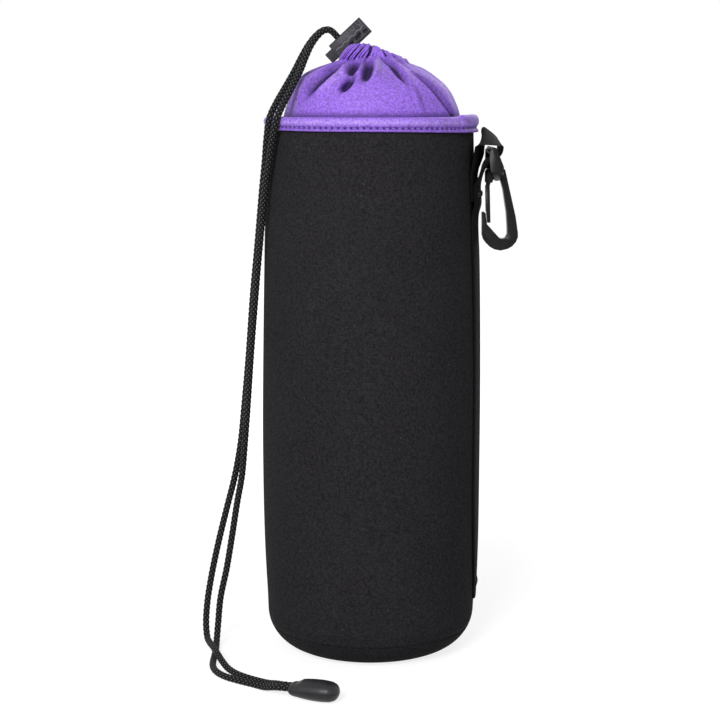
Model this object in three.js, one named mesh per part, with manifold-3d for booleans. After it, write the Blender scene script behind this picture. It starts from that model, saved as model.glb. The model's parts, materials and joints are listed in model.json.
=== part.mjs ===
// Padded lens pouch: a neoprene tube on a rounded base, a gathered knit collar closed by a
// drawstring with a cord lock, and a snap hook that hangs in the loop of a side strap.
// Millimetres, +Z up, origin on the floor under the middle of the pouch. The front faces -Y.

import * as THREE from 'three';
import { mergeVertices } from 'three/addons/utils/BufferGeometryUtils.js';
import Module from 'manifold-3d';

const wasm = await Module();
wasm.setup();

// Clearances shared by all pieces
const fitGap = 0.3;
const cutOverrun = 2;
const weldDistance = 1e-4;

// Pouch body
const bodyR = 50;
const bodyTopZ = 247.6;
const neopreneT = 4.5;
const baseCornerR = 17;
const baseSeamZ = 11;
const basePadT = 5;
const liningT = 0.8;
const bodySides = 48;
const cornerLevelShares = [0.35, 0.7, 1];
// Rows of [share of the height above the base corner, share of bodyR]
const bodyProfileShares = [
  [0, 0.988],
  [0.1, 0.994],
  [0.3, 1],
  [0.57, 0.996],
  [0.75, 0.98],
  [0.9, 0.957],
  [1, 0.944],
];

// Rim binding: a folded strip over the top edge of the tube
const bindingT = 1;
const bindingDrop = 5.1;
const bindingInnerDrop = 4.3;
const bindingCrown = 0.7;

// Gathered collar
const collarT = 1;
const collarFootLap = 4.2;
const collarRise = 31.7;
const collarSides = 48;
const pleatCount = 12;
const pleatDepth = 0.9;
// Rows of [share of collarRise, left share, right share of the foot radius, tilt share, pleat share]
const collarShares = [
  [0, 1, 1, 0, 0],
  [0.18, 0.965, 1, 0, 0],
  [0.28, 0.942, 0.983, 0, 0],
  [0.41, 0.905, 0.942, 0, 0],
  [0.52, 0.876, 0.905, 0, 0.05],
  [0.63, 0.835, 0.845, 0, 0.2],
  [0.73, 0.78, 0.765, 0, 0.4],
  [0.81, 0.69, 0.685, 0, 0.6],
  [0.88, 0.56, 0.59, 0, 0.8],
  [0.935, 0.418, 0.462, 0.05, 1],
  [0.97, 0.292, 0.375, 0.25, 1],
  [1, 0.182, 0.304, 1, 0],
];

// Cord and casing
const cordD = 3;
const strandPitch = 3.4;
const cordSides = 8;
const tailSteps = 60;
const tailLead = 0.7;
const drawstringSteps = 46;
const casingTilt = THREE.MathUtils.degToRad(16);
const casingHalfW = 3.2;
const casingHalfH = 4.6;
const casingSteps = 48;
const casingSides = 8;
const casingPleatDepth = 0.35;
// The drawstring's bight in the plane of the casing: shares of the neck's width
const bightReachShare = 0.9412;
const bightHalfWShare = 0.3805;
const bightShares = [
  [0.128, 0.342],
  [0.245, 0.605],
  [0.404, 0.868],
  [0.606, 1],
  [0.819, 0.816],
  [0.957, 0.447],
];
const casingNeckShare = 0.2;
const casingShares = [
  [0.255, 0.553],
  [0.404, 0.868],
  [0.606, 1],
  [0.819, 0.816],
  [0.957, 0.447],
];

// Cord lock: a housing and a sprung button, both with a slot for two strands
const lockAngle = THREE.MathUtils.degToRad(43);
const lockStandoff = 7.27;
const lockRise = 9.55;
const lockY = 4.5;
const lockLength = 18.8;
const lockThickness = 8.5;
const lockExitSetback = 5.7;
const lockWall = 1.15;
const lockEndWall = 2;
const lockChamfer = 0.6;
const lockClearance = 0.4;
const lockTravel = 3;
const buttonThickness = 5;
const buttonCheek = 1.2;
const buttonProud = 4;
const buttonTongue = 2.5;
const buttonFit = 0.25;
const buttonRibs = 3;
const ribDepth = 0.3;
const legStraight = 1;
const legBeyondExit = 2.4;
const lockSpringR = 1.9;
const lockSpringWireR = 0.25;
const lockSpringTurns = 5;
const springSides = 5;
const stepsPerTurn = 8;

// Cord end: two snapped halves round the knot that joins the strands
const endMouthShare = 0.5574;
const endMouthY = -80.2;
const endAxisZ = 4.7;
const endTurn = THREE.MathUtils.degToRad(-20);
const endLength = 22;
const endHalfW = 5.75;
const endHalfH = 4.6;
const endWall = 1.2;
const endSides = 20;
// Rows of [share of endLength, share of endHalfW, share of endHalfH]
const endShares = [
  [0, 0.79, 0.6],
  [0.03, 0.84, 0.68],
  [0.18, 0.92, 0.83],
  [0.36, 0.97, 0.95],
  [0.54, 1, 1],
  [0.72, 0.96, 0.96],
  [0.86, 0.79, 0.8],
  [0.95, 0.51, 0.5],
  [1, 0.12, 0.12],
];
const endCavityFrom = 2.6;
const endCavityTo = 19.4;
const endMouthDepth = 4;
const knotFrom = 8;
const knotLength = 9;
const knotHalfW = 3.6;
const knotHalfH = 3;
const knotSides = 14;
const knotRings = 8;

// Crossbar of the snap hook: how far it stands off the body and below the body's top
const barStandoff = 5.85;
const barDrop = 14;
const barR = bodyR + barStandoff;
const barZ = bodyTopZ - barDrop;

// Side strap: one webbing that runs up the side, makes a loop and is tucked in behind itself.
// Drops are heights below the crossbar
const strapTurn = THREE.MathUtils.degToRad(-7);
const strapW = 25;
const strapT = 1.25;
const strapFootZ = 24;
const strapDrift = THREE.MathUtils.degToRad(9);
const strapDriftTopZ = 92;
const strapLeaveDrop = 29.6;
const strapLiftedDrop = 24.1;
const strapPartDrop = 15.6;
const tuckEndDrop = 22.6;
const tuckTopDrop = 11.6;
const strapRows = 14;
// Loop round the crossbar in radii of the webbing's bend from the bar: [out, up, share of wrap]
const loopShares = [
  [-1.56, -3.62, 0.5],
  [-1.25, -2.57, 0.25],
  [-0.68, -1.7, 0.08],
  [0.08, -1.21, 0],
  [0.84, -0.83, 0],
  [1.33, -0.11, 0],
  [1.46, 0.87, 0],
  [1.25, 1.74, 0],
  [0.61, 2.57, 0],
  [-0.53, 3.47, 0],
  [-1.29, 3.89, 0],
  [-1.69, 3.51, 0],
  [-1.94, 2.26, 0.1],
  [-2.13, 0.15, 0.4],
  [-2.32, -2.11, 0.75],
];
const strapRowCrowding = 1.6;
const strapCells = 4;
const tackH = 2.4;
const tackW = 22;
const tackT = 0.4;
const tackTopDrop = 19.6;
const tackBaseZ = 31;

// Snap hook, drawn in its own plane with the crossbar's centre as its origin
const hookTilt = THREE.MathUtils.degToRad(6.2);
const crossbarR = 1.7;
const hookHalfW = 8.3;
const hookLength = 45.6;
const hookT = 6.4;
// Points as shares of hookHalfW across and hookLength down from the crossbar
const hookShares = [
  [-0.7, 0.612],
  [-0.77, 0.599],
  [-0.88, 0.603],
  [-0.93, 0.702],
  [-1, 0.829],
  [-0.95, 0.875],
  [-0.84, 0.91],
  [-0.66, 0.95],
  [-0.41, 0.982],
  [-0.085, 1],
  [0.32, 0.991],
  [0.585, 0.969],
  [0.805, 0.932],
  [0.94, 0.886],
  [0.963, 0.842],
  [0.927, 0.682],
  [0.744, 0.406],
  [0.6, 0.202],
  [0.49, 0.182],
  [-0.39, 0.182],
  [-0.476, 0.2],
  [-0.537, 0.307],
  [-0.17, 0.316],
  [-0.12, 0.29],
  [-0.02, 0.268],
  [0.15, 0.263],
  [0.28, 0.285],
  [0.32, 0.33],
  [0.378, 0.399],
  [0.445, 0.623],
  [0.427, 0.748],
  [0.39, 0.846],
  [0.256, 0.884],
  [0.098, 0.888],
  [-0.073, 0.875],
  [-0.683, 0.722],
];
const eyeHalfW = 15.4;
const eyeArmT = 2.4;
const eyeRungTop = 8.2;
const eyeArmFoot = 9.6;
const eyeFoot = 13.7;
const eyeFootHalfW = 5;
const eyeTop = 1.7;
const cheekThickness = 12;
// Front outline of the eye's arms, as shares of half the cheek's thickness and of eyeFoot
const cheekShares = [
  [-0.1, -0.13],
  [-0.33, -0.02],
  [-0.42, 0.3],
  [-0.4, 0.64],
  [-0.02, 1],
  [0.5, 1],
  [0.6, 0.54],
  [0.3, 0.08],
  [0.17, -0.1],
];
const gatePivotX = -2.2;
const gatePivotDrop = 11.3;
const gatePinR = 0.75;
const gateTongueR = 1.5;
const gateTongueT = 1.6;
const gateSlotT = 4.2;
const gateSlotLeft = 6;
const gateSlotRight = 2.3;
const gateSlotTop = 2.2;
const gateT = 5.6;
// Heights of the gate as shares of hookLength down from the crossbar
const gateShoulderShare = 0.34;
const gateTipShare = 0.7105;
const gateNotchShare = 0.5965;
const gateTopLeft = -4.5;
const gateTopRight = -2.7;
const gateTipLeft = -5.3;
const gateTipRight = -4;
const gateNotchLeft = -5.75;
const pinFit = 0.12;
const gateSpringR = 1.32;
const gateSpringWireR = 0.2;
const gateSpringTurns = 2.5;

// The two strands, as hand-placed points of their routes: they hang beside the pouch, then lie
// on the floor. Hanging rows of [share of the way from the lock to the body's side, share of
// bodyR behind the strand's place in the lock, share of the lock's height]
const hangingLeftShares = [
  [0.1262, -0.001, 1.0128],
  [0.2057, -0.006, 1.0111],
  [0.2908, -0.024, 1.0026],
  [0.3844, -0.06, 0.9879],
  [0.4723, -0.136, 0.9682],
  [0.5688, -0.244, 0.9436],
  [0.6766, -0.364, 0.919],
  [0.7787, -0.496, 0.8955],
  [0.8553, -0.596, 0.8727],
  [0.8922, -0.58, 0.8452],
  [0.9262, -0.508, 0.8045],
  [0.9688, -0.444, 0.7592],
  [1.0369, -0.384, 0.6742],
  [1.1078, -0.34, 0.5902],
  [1.1731, -0.31, 0.4918],
  [1.2383, -0.294, 0.4082],
  [1.295, -0.28, 0.3443],
  [1.3801, -0.26, 0.2881],
  [1.4823, -0.244, 0.2389],
  [1.6071, -0.224, 0.1774],
  [1.7149, -0.204, 0.1159],
  [1.7745, -0.206, 0.0703],
];
const hangingRightShares = [
  [0.1234, -0.002, 1.0123],
  [0.1943, -0.01, 1.0104],
  [0.2681, -0.036, 1.0019],
  [0.3447, -0.092, 0.9879],
  [0.4099, -0.172, 0.9696],
  [0.4752, -0.28, 0.9475],
  [0.5688, -0.404, 0.9225],
  [0.6766, -0.53, 0.8958],
  [0.7589, -0.64, 0.8712],
  [0.8128, -0.612, 0.8435],
  [0.8667, -0.544, 0.8045],
  [0.9262, -0.466, 0.7599],
  [1.0028, -0.396, 0.6752],
  [1.0681, -0.352, 0.5937],
  [1.1362, -0.322, 0.4989],
  [1.1901, -0.306, 0.4107],
  [1.2326, -0.292, 0.3478],
  [1.278, -0.274, 0.2916],
  [1.3461, -0.26, 0.2459],
  [1.4199, -0.236, 0.1897],
  [1.4993, -0.208, 0.1335],
  [1.5901, -0.194, 0.0808],
];
// Lying rows of [share of the way from the lock to the body's side, depth, height]
const lyingLeftRoute = [
  [1.7915, -5.4, 10],
  [1.766, -9.4, 4.6],
  [1.7262, -14.4, 3.9],
  [1.6865, -20, 4.5],
  [1.6383, -26.4, 4.95],
  [1.5787, -32.8, 4.4],
  [1.505, -39.2, 3],
  [1.4142, -46, 1.8],
  [1.3007, -52.6, 1.6],
  [1.1589, -58.2, 1.6],
  [1, -62.8, 1.6],
  [0.8582, -67.8, 2.2],
  [0.7447, -73.6, 3.9],
  [0.6482, -77.2, 4.65],
];
const lyingRightRoute = [
  [1.6241, -7.2, 11],
  [1.6383, -9.8, 4],
  [1.6355, -14.6, 1.7],
  [1.6298, -21, 1.6],
  [1.627, -28.6, 1.6],
  [1.627, -36.4, 1.6],
  [1.6071, -44, 1.6],
  [1.5362, -51.4, 1.6],
  [1.4085, -57.6, 1.6],
  [1.2383, -62.6, 1.6],
  [1.0567, -67.2, 1.6],
  [0.9035, -72.2, 2],
  [0.7844, -77.2, 3.7],
  [0.6823, -80.4, 4.65],
];

const looks = {
  neoprene: { color: '#2b2a2c', roughness: 0.9, metalness: 0 },
  foam: { color: '#3a3a3c', roughness: 0.95, metalness: 0 },
  purpleKnit: { color: '#7d57c9', roughness: 0.42, metalness: 0 },
  cord: { color: '#1f1f20', roughness: 0.7, metalness: 0 },
  webbing: { color: '#19191a', roughness: 0.8, metalness: 0 },
  mattePlastic: { color: '#323236', roughness: 0.45, metalness: 0 },
  glossPlastic: { color: '#29292d', roughness: 0.22, metalness: 0 },
  steel: { color: '#b6b8bb', roughness: 0.3, metalness: 1 },
};

// Shape helpers

function merged(geometry) {
  const plain = geometry.clone();
  plain.deleteAttribute('normal');
  plain.deleteAttribute('uv');
  return mergeVertices(plain, weldDistance);
}

function toSolid(geometry) {
  const plain = merged(geometry);
  const vertProperties = new Float32Array(plain.attributes.position.array);
  const triVerts = new Uint32Array(plain.index.array);
  return new wasm.Manifold(new wasm.Mesh({ numProp: 3, vertProperties, triVerts }));
}

function fromSolid(solid) {
  const mesh = solid.getMesh();
  const geometry = new THREE.BufferGeometry();
  geometry.setAttribute('position', new THREE.BufferAttribute(new Float32Array(mesh.vertProperties), 3));
  geometry.setIndex(new THREE.BufferAttribute(new Uint32Array(mesh.triVerts), 1));
  geometry.computeVertexNormals();
  return geometry;
}

// Turned shape about +Z from [radius, height] points that go up the outside and down the inside
function lathe(points, sides) {
  const profile = points.map(([r, z]) => new THREE.Vector2(r, z));
  return new THREE.LatheGeometry(profile, sides).rotateX(Math.PI / 2);
}

function indexed(points, faces) {
  const geometry = new THREE.BufferGeometry();
  const coordinates = points.flatMap((point) => point.toArray());
  geometry.setAttribute('position', new THREE.Float32BufferAttribute(coordinates, 3));
  geometry.setIndex(faces.flat());
  geometry.computeVertexNormals();
  return geometry;
}

// Side faces between rings of equal count; the rings join up end to end when looped
function ringFaces(ringCount, sides, looped) {
  const faces = [];
  const spans = looped ? ringCount : ringCount - 1;
  for (let i = 0; i < spans; i += 1) {
    const next = (i + 1) % ringCount;
    for (let j = 0; j < sides; j += 1) {
      const k = (j + 1) % sides;
      faces.push([i * sides + j, i * sides + k, next * sides + k]);
      faces.push([i * sides + j, next * sides + k, next * sides + j]);
    }
  }
  return faces;
}

function loopedLoft(rings) {
  return indexed(rings.flat(), ringFaces(rings.length, rings[0].length, true));
}

// Closed loft with a fan from the centre of each end ring
function cappedLoft(rings) {
  const sides = rings[0].length;
  const points = rings.flat();
  const faces = ringFaces(rings.length, sides, false);
  const addCap = (start, flip) => {
    const centre = new THREE.Vector3();
    for (let j = 0; j < sides; j += 1) {
      centre.addScaledVector(points[start + j], 1 / sides);
    }
    const hub = points.push(centre) - 1;
    for (let j = 0; j < sides; j += 1) {
      const a = start + j;
      const b = start + ((j + 1) % sides);
      faces.push(flip ? [hub, b, a] : [hub, a, b]);
    }
  };
  addCap(0, true);
  addCap((rings.length - 1) * sides, false);
  return indexed(points, faces);
}

// Flat strip of webbing: each row is a line of cells across, with a front and a back face
function bandLoft(rows) {
  const cells = rows[0].front.length - 1;
  const rings = rows.map((row) => [...row.front, ...[...row.back].reverse()]);
  const sides = rings[0].length;
  const faces = ringFaces(rings.length, sides, false);
  const last = (rings.length - 1) * sides;
  for (let j = 0; j < cells; j += 1) {
    const far = sides - 1 - j;
    faces.push([j + 1, j, far], [j + 1, far, far - 1]);
    faces.push([last + j, last + j + 1, last + far], [last + far, last + j + 1, last + far - 1]);
  }
  return indexed(rings.flat(), faces);
}

function circleShape(radius, sides) {
  const points = [];
  for (let i = 0; i < sides; i += 1) {
    const angle = (2 * Math.PI * i) / sides;
    points.push(new THREE.Vector2(radius * Math.cos(angle), radius * Math.sin(angle)));
  }
  return new THREE.Shape(points);
}

function tube(curve, radius, sides, steps) {
  return new THREE.ExtrudeGeometry(circleShape(radius, sides), {
    steps,
    extrudePath: curve,
    bevelEnabled: false,
  });
}

// Outline in the XZ plane, made thickness deep and centred on y = 0
function plate(points, thickness) {
  const shape = new THREE.Shape(points.map(([x, z]) => new THREE.Vector2(x, z)));
  const geometry = new THREE.ExtrudeGeometry(shape, { depth: thickness, bevelEnabled: false });
  return geometry.rotateX(Math.PI / 2).translate(0, thickness / 2, 0);
}

function box(from, to) {
  const size = new THREE.Vector3().subVectors(to, from);
  const middle = new THREE.Vector3().addVectors(to, from).multiplyScalar(0.5);
  return new THREE.BoxGeometry(size.x, size.y, size.z).translate(middle.x, middle.y, middle.z);
}

// Box with its long edges chamfered: u along X, y across, and h through its thickness along Z
function chamferedBlock(from, to, chamfer) {
  const rings = [from.x, to.x].map((x) => [
    new THREE.Vector3(x, from.y + chamfer, from.z),
    new THREE.Vector3(x, to.y - chamfer, from.z),
    new THREE.Vector3(x, to.y, from.z + chamfer),
    new THREE.Vector3(x, to.y, to.z - chamfer),
    new THREE.Vector3(x, to.y - chamfer, to.z),
    new THREE.Vector3(x, from.y + chamfer, to.z),
    new THREE.Vector3(x, from.y, to.z - chamfer),
    new THREE.Vector3(x, from.y, from.z + chamfer),
  ]);
  return cappedLoft(rings);
}

class Helix extends THREE.Curve {
  constructor(radius, height, turns) {
    super();
    this.radius = radius;
    this.height = height;
    this.turns = turns;
  }

  getPoint(t, target = new THREE.Vector3()) {
    const angle = 2 * Math.PI * this.turns * t;
    return target.set(this.radius * Math.cos(angle), this.radius * Math.sin(angle), this.height * t);
  }
}

// Pouch body

const cornerCentreR = bodyProfileShares[0][1] * bodyR - baseCornerR;

// Radius of the body's outside at a height, moved in by an inset
function bodyRadius(z, inset = 0) {
  if (z <= baseCornerR) {
    const rise = baseCornerR - z;
    const reach = baseCornerR - inset;
    return cornerCentreR + Math.sqrt(Math.max(0, reach * reach - rise * rise));
  }
  const t = (z - baseCornerR) / (bodyTopZ - baseCornerR);
  const rows = bodyProfileShares;
  const found = rows.findIndex((row) => row[0] >= t);
  const i = found < 0 ? rows.length - 1 : found;
  const [t0, r0] = rows[Math.max(i - 1, 0)];
  const [t1, r1] = rows[i];
  const r = t1 > t0 ? r0 + ((r1 - r0) * Math.min(t - t0, t1 - t0)) / (t1 - t0) : r0;
  return r * bodyR - inset;
}

// Heights between two levels: a few in the rounded corner and one at each profile row
function bodyLevels(from, to) {
  const levels = [from];
  for (const share of cornerLevelShares) {
    const z = from + share * (baseCornerR - from);
    if (z > from && z < to) {
      levels.push(z);
    }
  }
  for (const [share] of bodyProfileShares) {
    const z = baseCornerR + share * (bodyTopZ - baseCornerR);
    if (z > Math.max(from, baseCornerR) && z < to) {
      levels.push(z);
    }
  }
  levels.push(to);
  return levels;
}

function bodyShell(from, to, inset, thickness) {
  const outer = bodyLevels(from, to).map((z) => [bodyRadius(z, inset), z]);
  const inner = bodyLevels(from, to).map((z) => [bodyRadius(z, inset + thickness), z]).reverse();
  return lathe([...outer, ...inner, outer[0]], bodySides);
}

function bodyDisc(from, to, inset) {
  const steps = 5;
  const profile = [[0, from]];
  for (let i = 0; i <= steps; i += 1) {
    const z = from + ((to - from) * i) / steps;
    profile.push([bodyRadius(z, inset), z]);
  }
  profile.push([0, to]);
  return lathe(profile, bodySides);
}

const sleeveFootZ = baseSeamZ + fitGap / 2;
const basePanelTopZ = baseSeamZ - fitGap / 2;
const padBottomZ = neopreneT + fitGap;
const padTopZ = padBottomZ + basePadT;
const baseLiningZ = padTopZ + fitGap;
const liningFootZ = baseLiningZ + liningT + fitGap;
const bindingFootZ = bodyTopZ - bindingDrop;
const bindingInnerFootZ = bodyTopZ - bindingInnerDrop;
const liningTopZ = bindingInnerFootZ - fitGap;
const innerInset = neopreneT + fitGap;

function outerSleeve() {
  return bodyShell(sleeveFootZ, bodyTopZ, 0, neopreneT);
}

function innerLining() {
  return bodyShell(liningFootZ, liningTopZ, innerInset, liningT);
}

function basePanel() {
  const steps = 7;
  const outer = [];
  const inner = [];
  for (let i = 0; i <= steps; i += 1) {
    const outerZ = basePanelTopZ * (i / steps) ** 2;
    const innerZ = neopreneT + (basePanelTopZ - neopreneT) * (i / steps) ** 2;
    outer.push([bodyRadius(outerZ), outerZ]);
    inner.push([bodyRadius(innerZ, neopreneT), innerZ]);
  }
  return lathe([[0, 0], ...outer, ...inner.reverse(), [0, neopreneT]], bodySides);
}

function basePad() {
  return bodyDisc(padBottomZ, padTopZ, innerInset);
}

function baseLining() {
  return bodyDisc(baseLiningZ, baseLiningZ + liningT, innerInset);
}

const bindingInnerR = bodyRadius(bodyTopZ) - neopreneT - fitGap - bindingT;

function rimBinding() {
  const innerLegR = bindingInnerR + bindingT;
  const outerLegR = bodyRadius(bodyTopZ) + fitGap;
  const outsideR = outerLegR + bindingT;
  const innerTopZ = bodyTopZ + fitGap;
  const crownZ = innerTopZ + bindingT + bindingCrown;
  const middleR = (bindingInnerR + outsideR) / 2;
  return lathe([
    [outsideR - bindingT / 4, bindingFootZ],
    [outsideR, (bindingFootZ + bodyTopZ) / 2],
    [outsideR - bindingT / 4, innerTopZ],
    [outsideR - bindingT, innerTopZ + bindingT],
    [middleR, crownZ],
    [bindingInnerR + bindingT, innerTopZ + bindingT],
    [bindingInnerR + bindingT / 4, innerTopZ],
    [bindingInnerR, bindingInnerFootZ],
    [innerLegR, bindingInnerFootZ],
    [innerLegR, innerTopZ],
    [outerLegR, innerTopZ],
    [outerLegR, bindingFootZ],
    [outsideR - bindingT / 4, bindingFootZ],
  ], bodySides);
}

// Neck of the collar, which carries the casing and the lock

const collarFootZ = bodyTopZ - collarFootLap;
const collarFootR = bindingInnerR - fitGap;
const [, neckLeftShare, neckRightShare] = collarShares[collarShares.length - 1];
const neckLeftR = neckLeftShare * collarFootR;
const neckRightR = neckRightShare * collarFootR;
const mouthX = (neckRightR - neckLeftR) / 2;
const bightReach = bightReachShare * (neckLeftR + neckRightR);
const bightHalfW = bightHalfWShare * (neckLeftR + neckRightR);

// Cord lock frame: u along the housing, h out of the strand exit, in the plane y = lockY

const lockExitX = -neckLeftR - lockStandoff;
const lockExitZ = collarFootZ + collarRise + lockRise;
const alongLock = new THREE.Vector3(Math.cos(lockAngle), 0, Math.sin(lockAngle));
const throughLock = new THREE.Vector3(-Math.sin(lockAngle), 0, Math.cos(lockAngle));
const lockExit = new THREE.Vector3(lockExitX, lockY, lockExitZ);
const slotHalfW = (strandPitch + cordD) / 2 + fitGap;
const buttonHalfW = slotHalfW + buttonCheek;
const lockHalfW = buttonHalfW + buttonFit + lockWall;
const lockHalfT = lockThickness / 2;
const buttonHalfT = buttonThickness / 2;
const slotFrom = lockExitSetback - cordD / 2 - fitGap;
const slotLength = cordD + 2 * fitGap + lockTravel;

// Carries a shape from the lock's own axes (X along, Y across, Z through) to the pouch
function placeLock(geometry) {
  const turn = new THREE.Matrix4().makeRotationY(-lockAngle);
  const origin = lockExit.clone()
    .addScaledVector(alongLock, -lockExitSetback)
    .addScaledVector(throughLock, -lockHalfT);
  return geometry.applyMatrix4(turn).translate(origin.x, origin.y, origin.z);
}

function lockHousing() {
  const outside = toSolid(chamferedBlock(
    new THREE.Vector3(0, -lockHalfW, -lockHalfT),
    new THREE.Vector3(lockLength, lockHalfW, lockHalfT),
    lockChamfer,
  ));
  const bore = toSolid(box(
    new THREE.Vector3(-cutOverrun, -buttonHalfW - buttonFit, -buttonHalfT - buttonFit),
    new THREE.Vector3(lockLength - lockEndWall, buttonHalfW + buttonFit, buttonHalfT + buttonFit),
  ));
  const slot = toSolid(box(
    new THREE.Vector3(slotFrom, -slotHalfW, -lockHalfT - cutOverrun),
    new THREE.Vector3(slotFrom + slotLength, slotHalfW, lockHalfT + cutOverrun),
  ));
  return placeLock(fromSolid(outside.subtract(bore).subtract(slot)));
}

function lockButton() {
  const end = slotFrom + slotLength - lockTravel + buttonTongue;
  let solid = toSolid(chamferedBlock(
    new THREE.Vector3(-buttonProud, -buttonHalfW, -buttonHalfT),
    new THREE.Vector3(end, buttonHalfW, buttonHalfT),
    lockChamfer / 2,
  ));
  const slot = box(
    new THREE.Vector3(slotFrom - lockTravel, -slotHalfW, -buttonHalfT - cutOverrun),
    new THREE.Vector3(slotFrom - lockTravel + slotLength, slotHalfW, buttonHalfT + cutOverrun),
  );
  solid = solid.subtract(toSolid(slot));
  // Finger grooves across the two broad faces of the button's end
  const pitch = buttonProud / (buttonRibs + 1);
  for (let i = 1; i <= buttonRibs; i += 1) {
    const u = -buttonProud + i * pitch;
    for (const side of [-1, 1]) {
      const groove = box(
        new THREE.Vector3(u - pitch / 4, side * buttonHalfW - ribDepth, -buttonHalfT - cutOverrun),
        new THREE.Vector3(u + pitch / 4, side * buttonHalfW + ribDepth, buttonHalfT + cutOverrun),
      );
      solid = solid.subtract(toSolid(groove));
    }
  }
  return placeLock(fromSolid(solid));
}

function lockSpring() {
  const from = slotFrom + slotLength - lockTravel + buttonTongue + fitGap + lockSpringWireR;
  const to = lockLength - lockEndWall - fitGap - lockSpringWireR;
  const helix = new Helix(lockSpringR, to - from, lockSpringTurns);
  const wire = tube(helix, lockSpringWireR, springSides, lockSpringTurns * stepsPerTurn);
  return placeLock(wire.rotateY(Math.PI / 2).translate(from, 0, 0));
}

// Casing plane: it starts just below the lock's entry and falls away to the right

const alongCasing = new THREE.Vector3(Math.cos(casingTilt), 0, -Math.sin(casingTilt));
const acrossCasing = new THREE.Vector3(0, 1, 0);
const casingNormal = new THREE.Vector3(Math.sin(casingTilt), 0, Math.cos(casingTilt));
const lockEntry = lockExit.clone().addScaledVector(throughLock, -lockThickness);
const casingStart = lockEntry.clone().addScaledVector(throughLock, -legStraight);

function casingPoint(reach, side) {
  return casingStart.clone().addScaledVector(alongCasing, reach).addScaledVector(acrossCasing, side);
}

function sharePoints(shares, side) {
  return shares.map(([reach, half]) => casingPoint(reach * bightReach, side * half * bightHalfW));
}

function drawstringCurve() {
  const leg = (side) => {
    const offset = (side * strandPitch) / 2;
    const exit = lockExit.clone().addScaledVector(acrossCasing, offset);
    const entry = lockEntry.clone().addScaledVector(acrossCasing, offset);
    const tip = exit.clone().addScaledVector(throughLock, legBeyondExit);
    return [tip, exit, exit.clone().lerp(entry, 0.5), entry];
  };
  const back = sharePoints(bightShares, 1);
  const front = sharePoints(bightShares, -1).reverse();
  return new THREE.CatmullRomCurve3([
    ...leg(1),
    ...back,
    casingPoint(bightReach, 0),
    ...front,
    ...leg(-1).reverse(),
  ]);
}

function drawstring() {
  return tube(drawstringCurve(), cordD / 2, cordSides, drawstringSteps);
}

// Fabric roll round the drawstring
function casingRoll() {
  const curve = new THREE.CatmullRomCurve3([
    casingPoint(casingNeckShare * bightReach, 0),
    ...sharePoints(casingShares, 1),
    casingPoint(bightReach, 0),
    ...sharePoints(casingShares, -1).reverse(),
  ], true);
  const rings = [];
  for (let i = 0; i < casingSteps; i += 1) {
    const t = i / casingSteps;
    const centre = curve.getPointAt(t);
    const outward = new THREE.Vector3().crossVectors(curve.getTangentAt(t), casingNormal).normalize();
    const pleat = casingPleatDepth * Math.cos(2 * Math.PI * pleatCount * t);
    const ring = [];
    for (let j = 0; j < casingSides; j += 1) {
      const angle = (2 * Math.PI * j) / casingSides;
      ring.push(centre.clone()
        .addScaledVector(outward, -(casingHalfW + pleat) * Math.cos(angle))
        .addScaledVector(casingNormal, (casingHalfH + pleat) * Math.sin(angle)));
    }
    rings.push(ring);
  }
  return loopedLoft(rings);
}

// One ring of the collar: a row of shares, drawn in and lowered by an inset
function collarRing(row, inset, drop) {
  const [rise, left, right, tilt, pleat] = row;
  const ring = [];
  for (let j = 0; j < collarSides; j += 1) {
    const angle = (2 * Math.PI * j) / collarSides;
    const side = (1 + Math.cos(angle)) / 2;
    const fold = pleat * pleatDepth * Math.cos(pleatCount * angle);
    const reach = collarFootR * (left * (1 - side) + right * side) - inset + fold;
    const x = reach * Math.cos(angle);
    const y = lockY * rise * rise + reach * Math.sin(angle);
    const z = collarFootZ + collarRise * rise - drop - tilt * Math.tan(casingTilt) * (x - mouthX);
    ring.push(new THREE.Vector3(x, y, z));
  }
  return ring;
}

function collarShell() {
  const outer = [];
  const inner = [];
  collarShares.forEach((row, i) => {
    const before = collarShares[Math.max(i - 1, 0)];
    const after = collarShares[Math.min(i + 1, collarShares.length - 1)];
    const up = (after[0] - before[0]) * collarRise;
    const outward = ((after[1] + after[2] - before[1] - before[2]) / 2) * collarFootR;
    const length = Math.hypot(up, outward);
    outer.push(collarRing(row, 0, 0));
    inner.push(collarRing(row, (collarT * up) / length, i === 0 ? 0 : (-collarT * outward) / length));
  });
  return loopedLoft([...outer, ...inner.reverse()]);
}

function collar() {
  const channel = tube(drawstringCurve(), cordD / 2 + fitGap, cordSides, drawstringSteps);
  const lockSpace = box(
    new THREE.Vector3(-buttonProud - lockClearance, -lockHalfW - lockClearance, -lockHalfT - lockClearance),
    new THREE.Vector3(lockLength + lockClearance, lockHalfW + lockClearance, lockHalfT + lockClearance),
  );
  const fabric = toSolid(collarShell()).add(toSolid(casingRoll()));
  return fromSolid(fabric.subtract(toSolid(channel)).subtract(toSolid(placeLock(lockSpace))));
}

// How far left a share of the way from the lock to the body's side reaches
function leftward(share) {
  return lockExitX - share * (bodyR + lockExitX);
}

// Cord end, with its own X along the axis from the mouth to the tip

const endMouthX = leftward(endMouthShare);

function placeEnd(geometry) {
  return geometry.rotateZ(endTurn).translate(endMouthX, endMouthY, endAxisZ);
}

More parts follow.
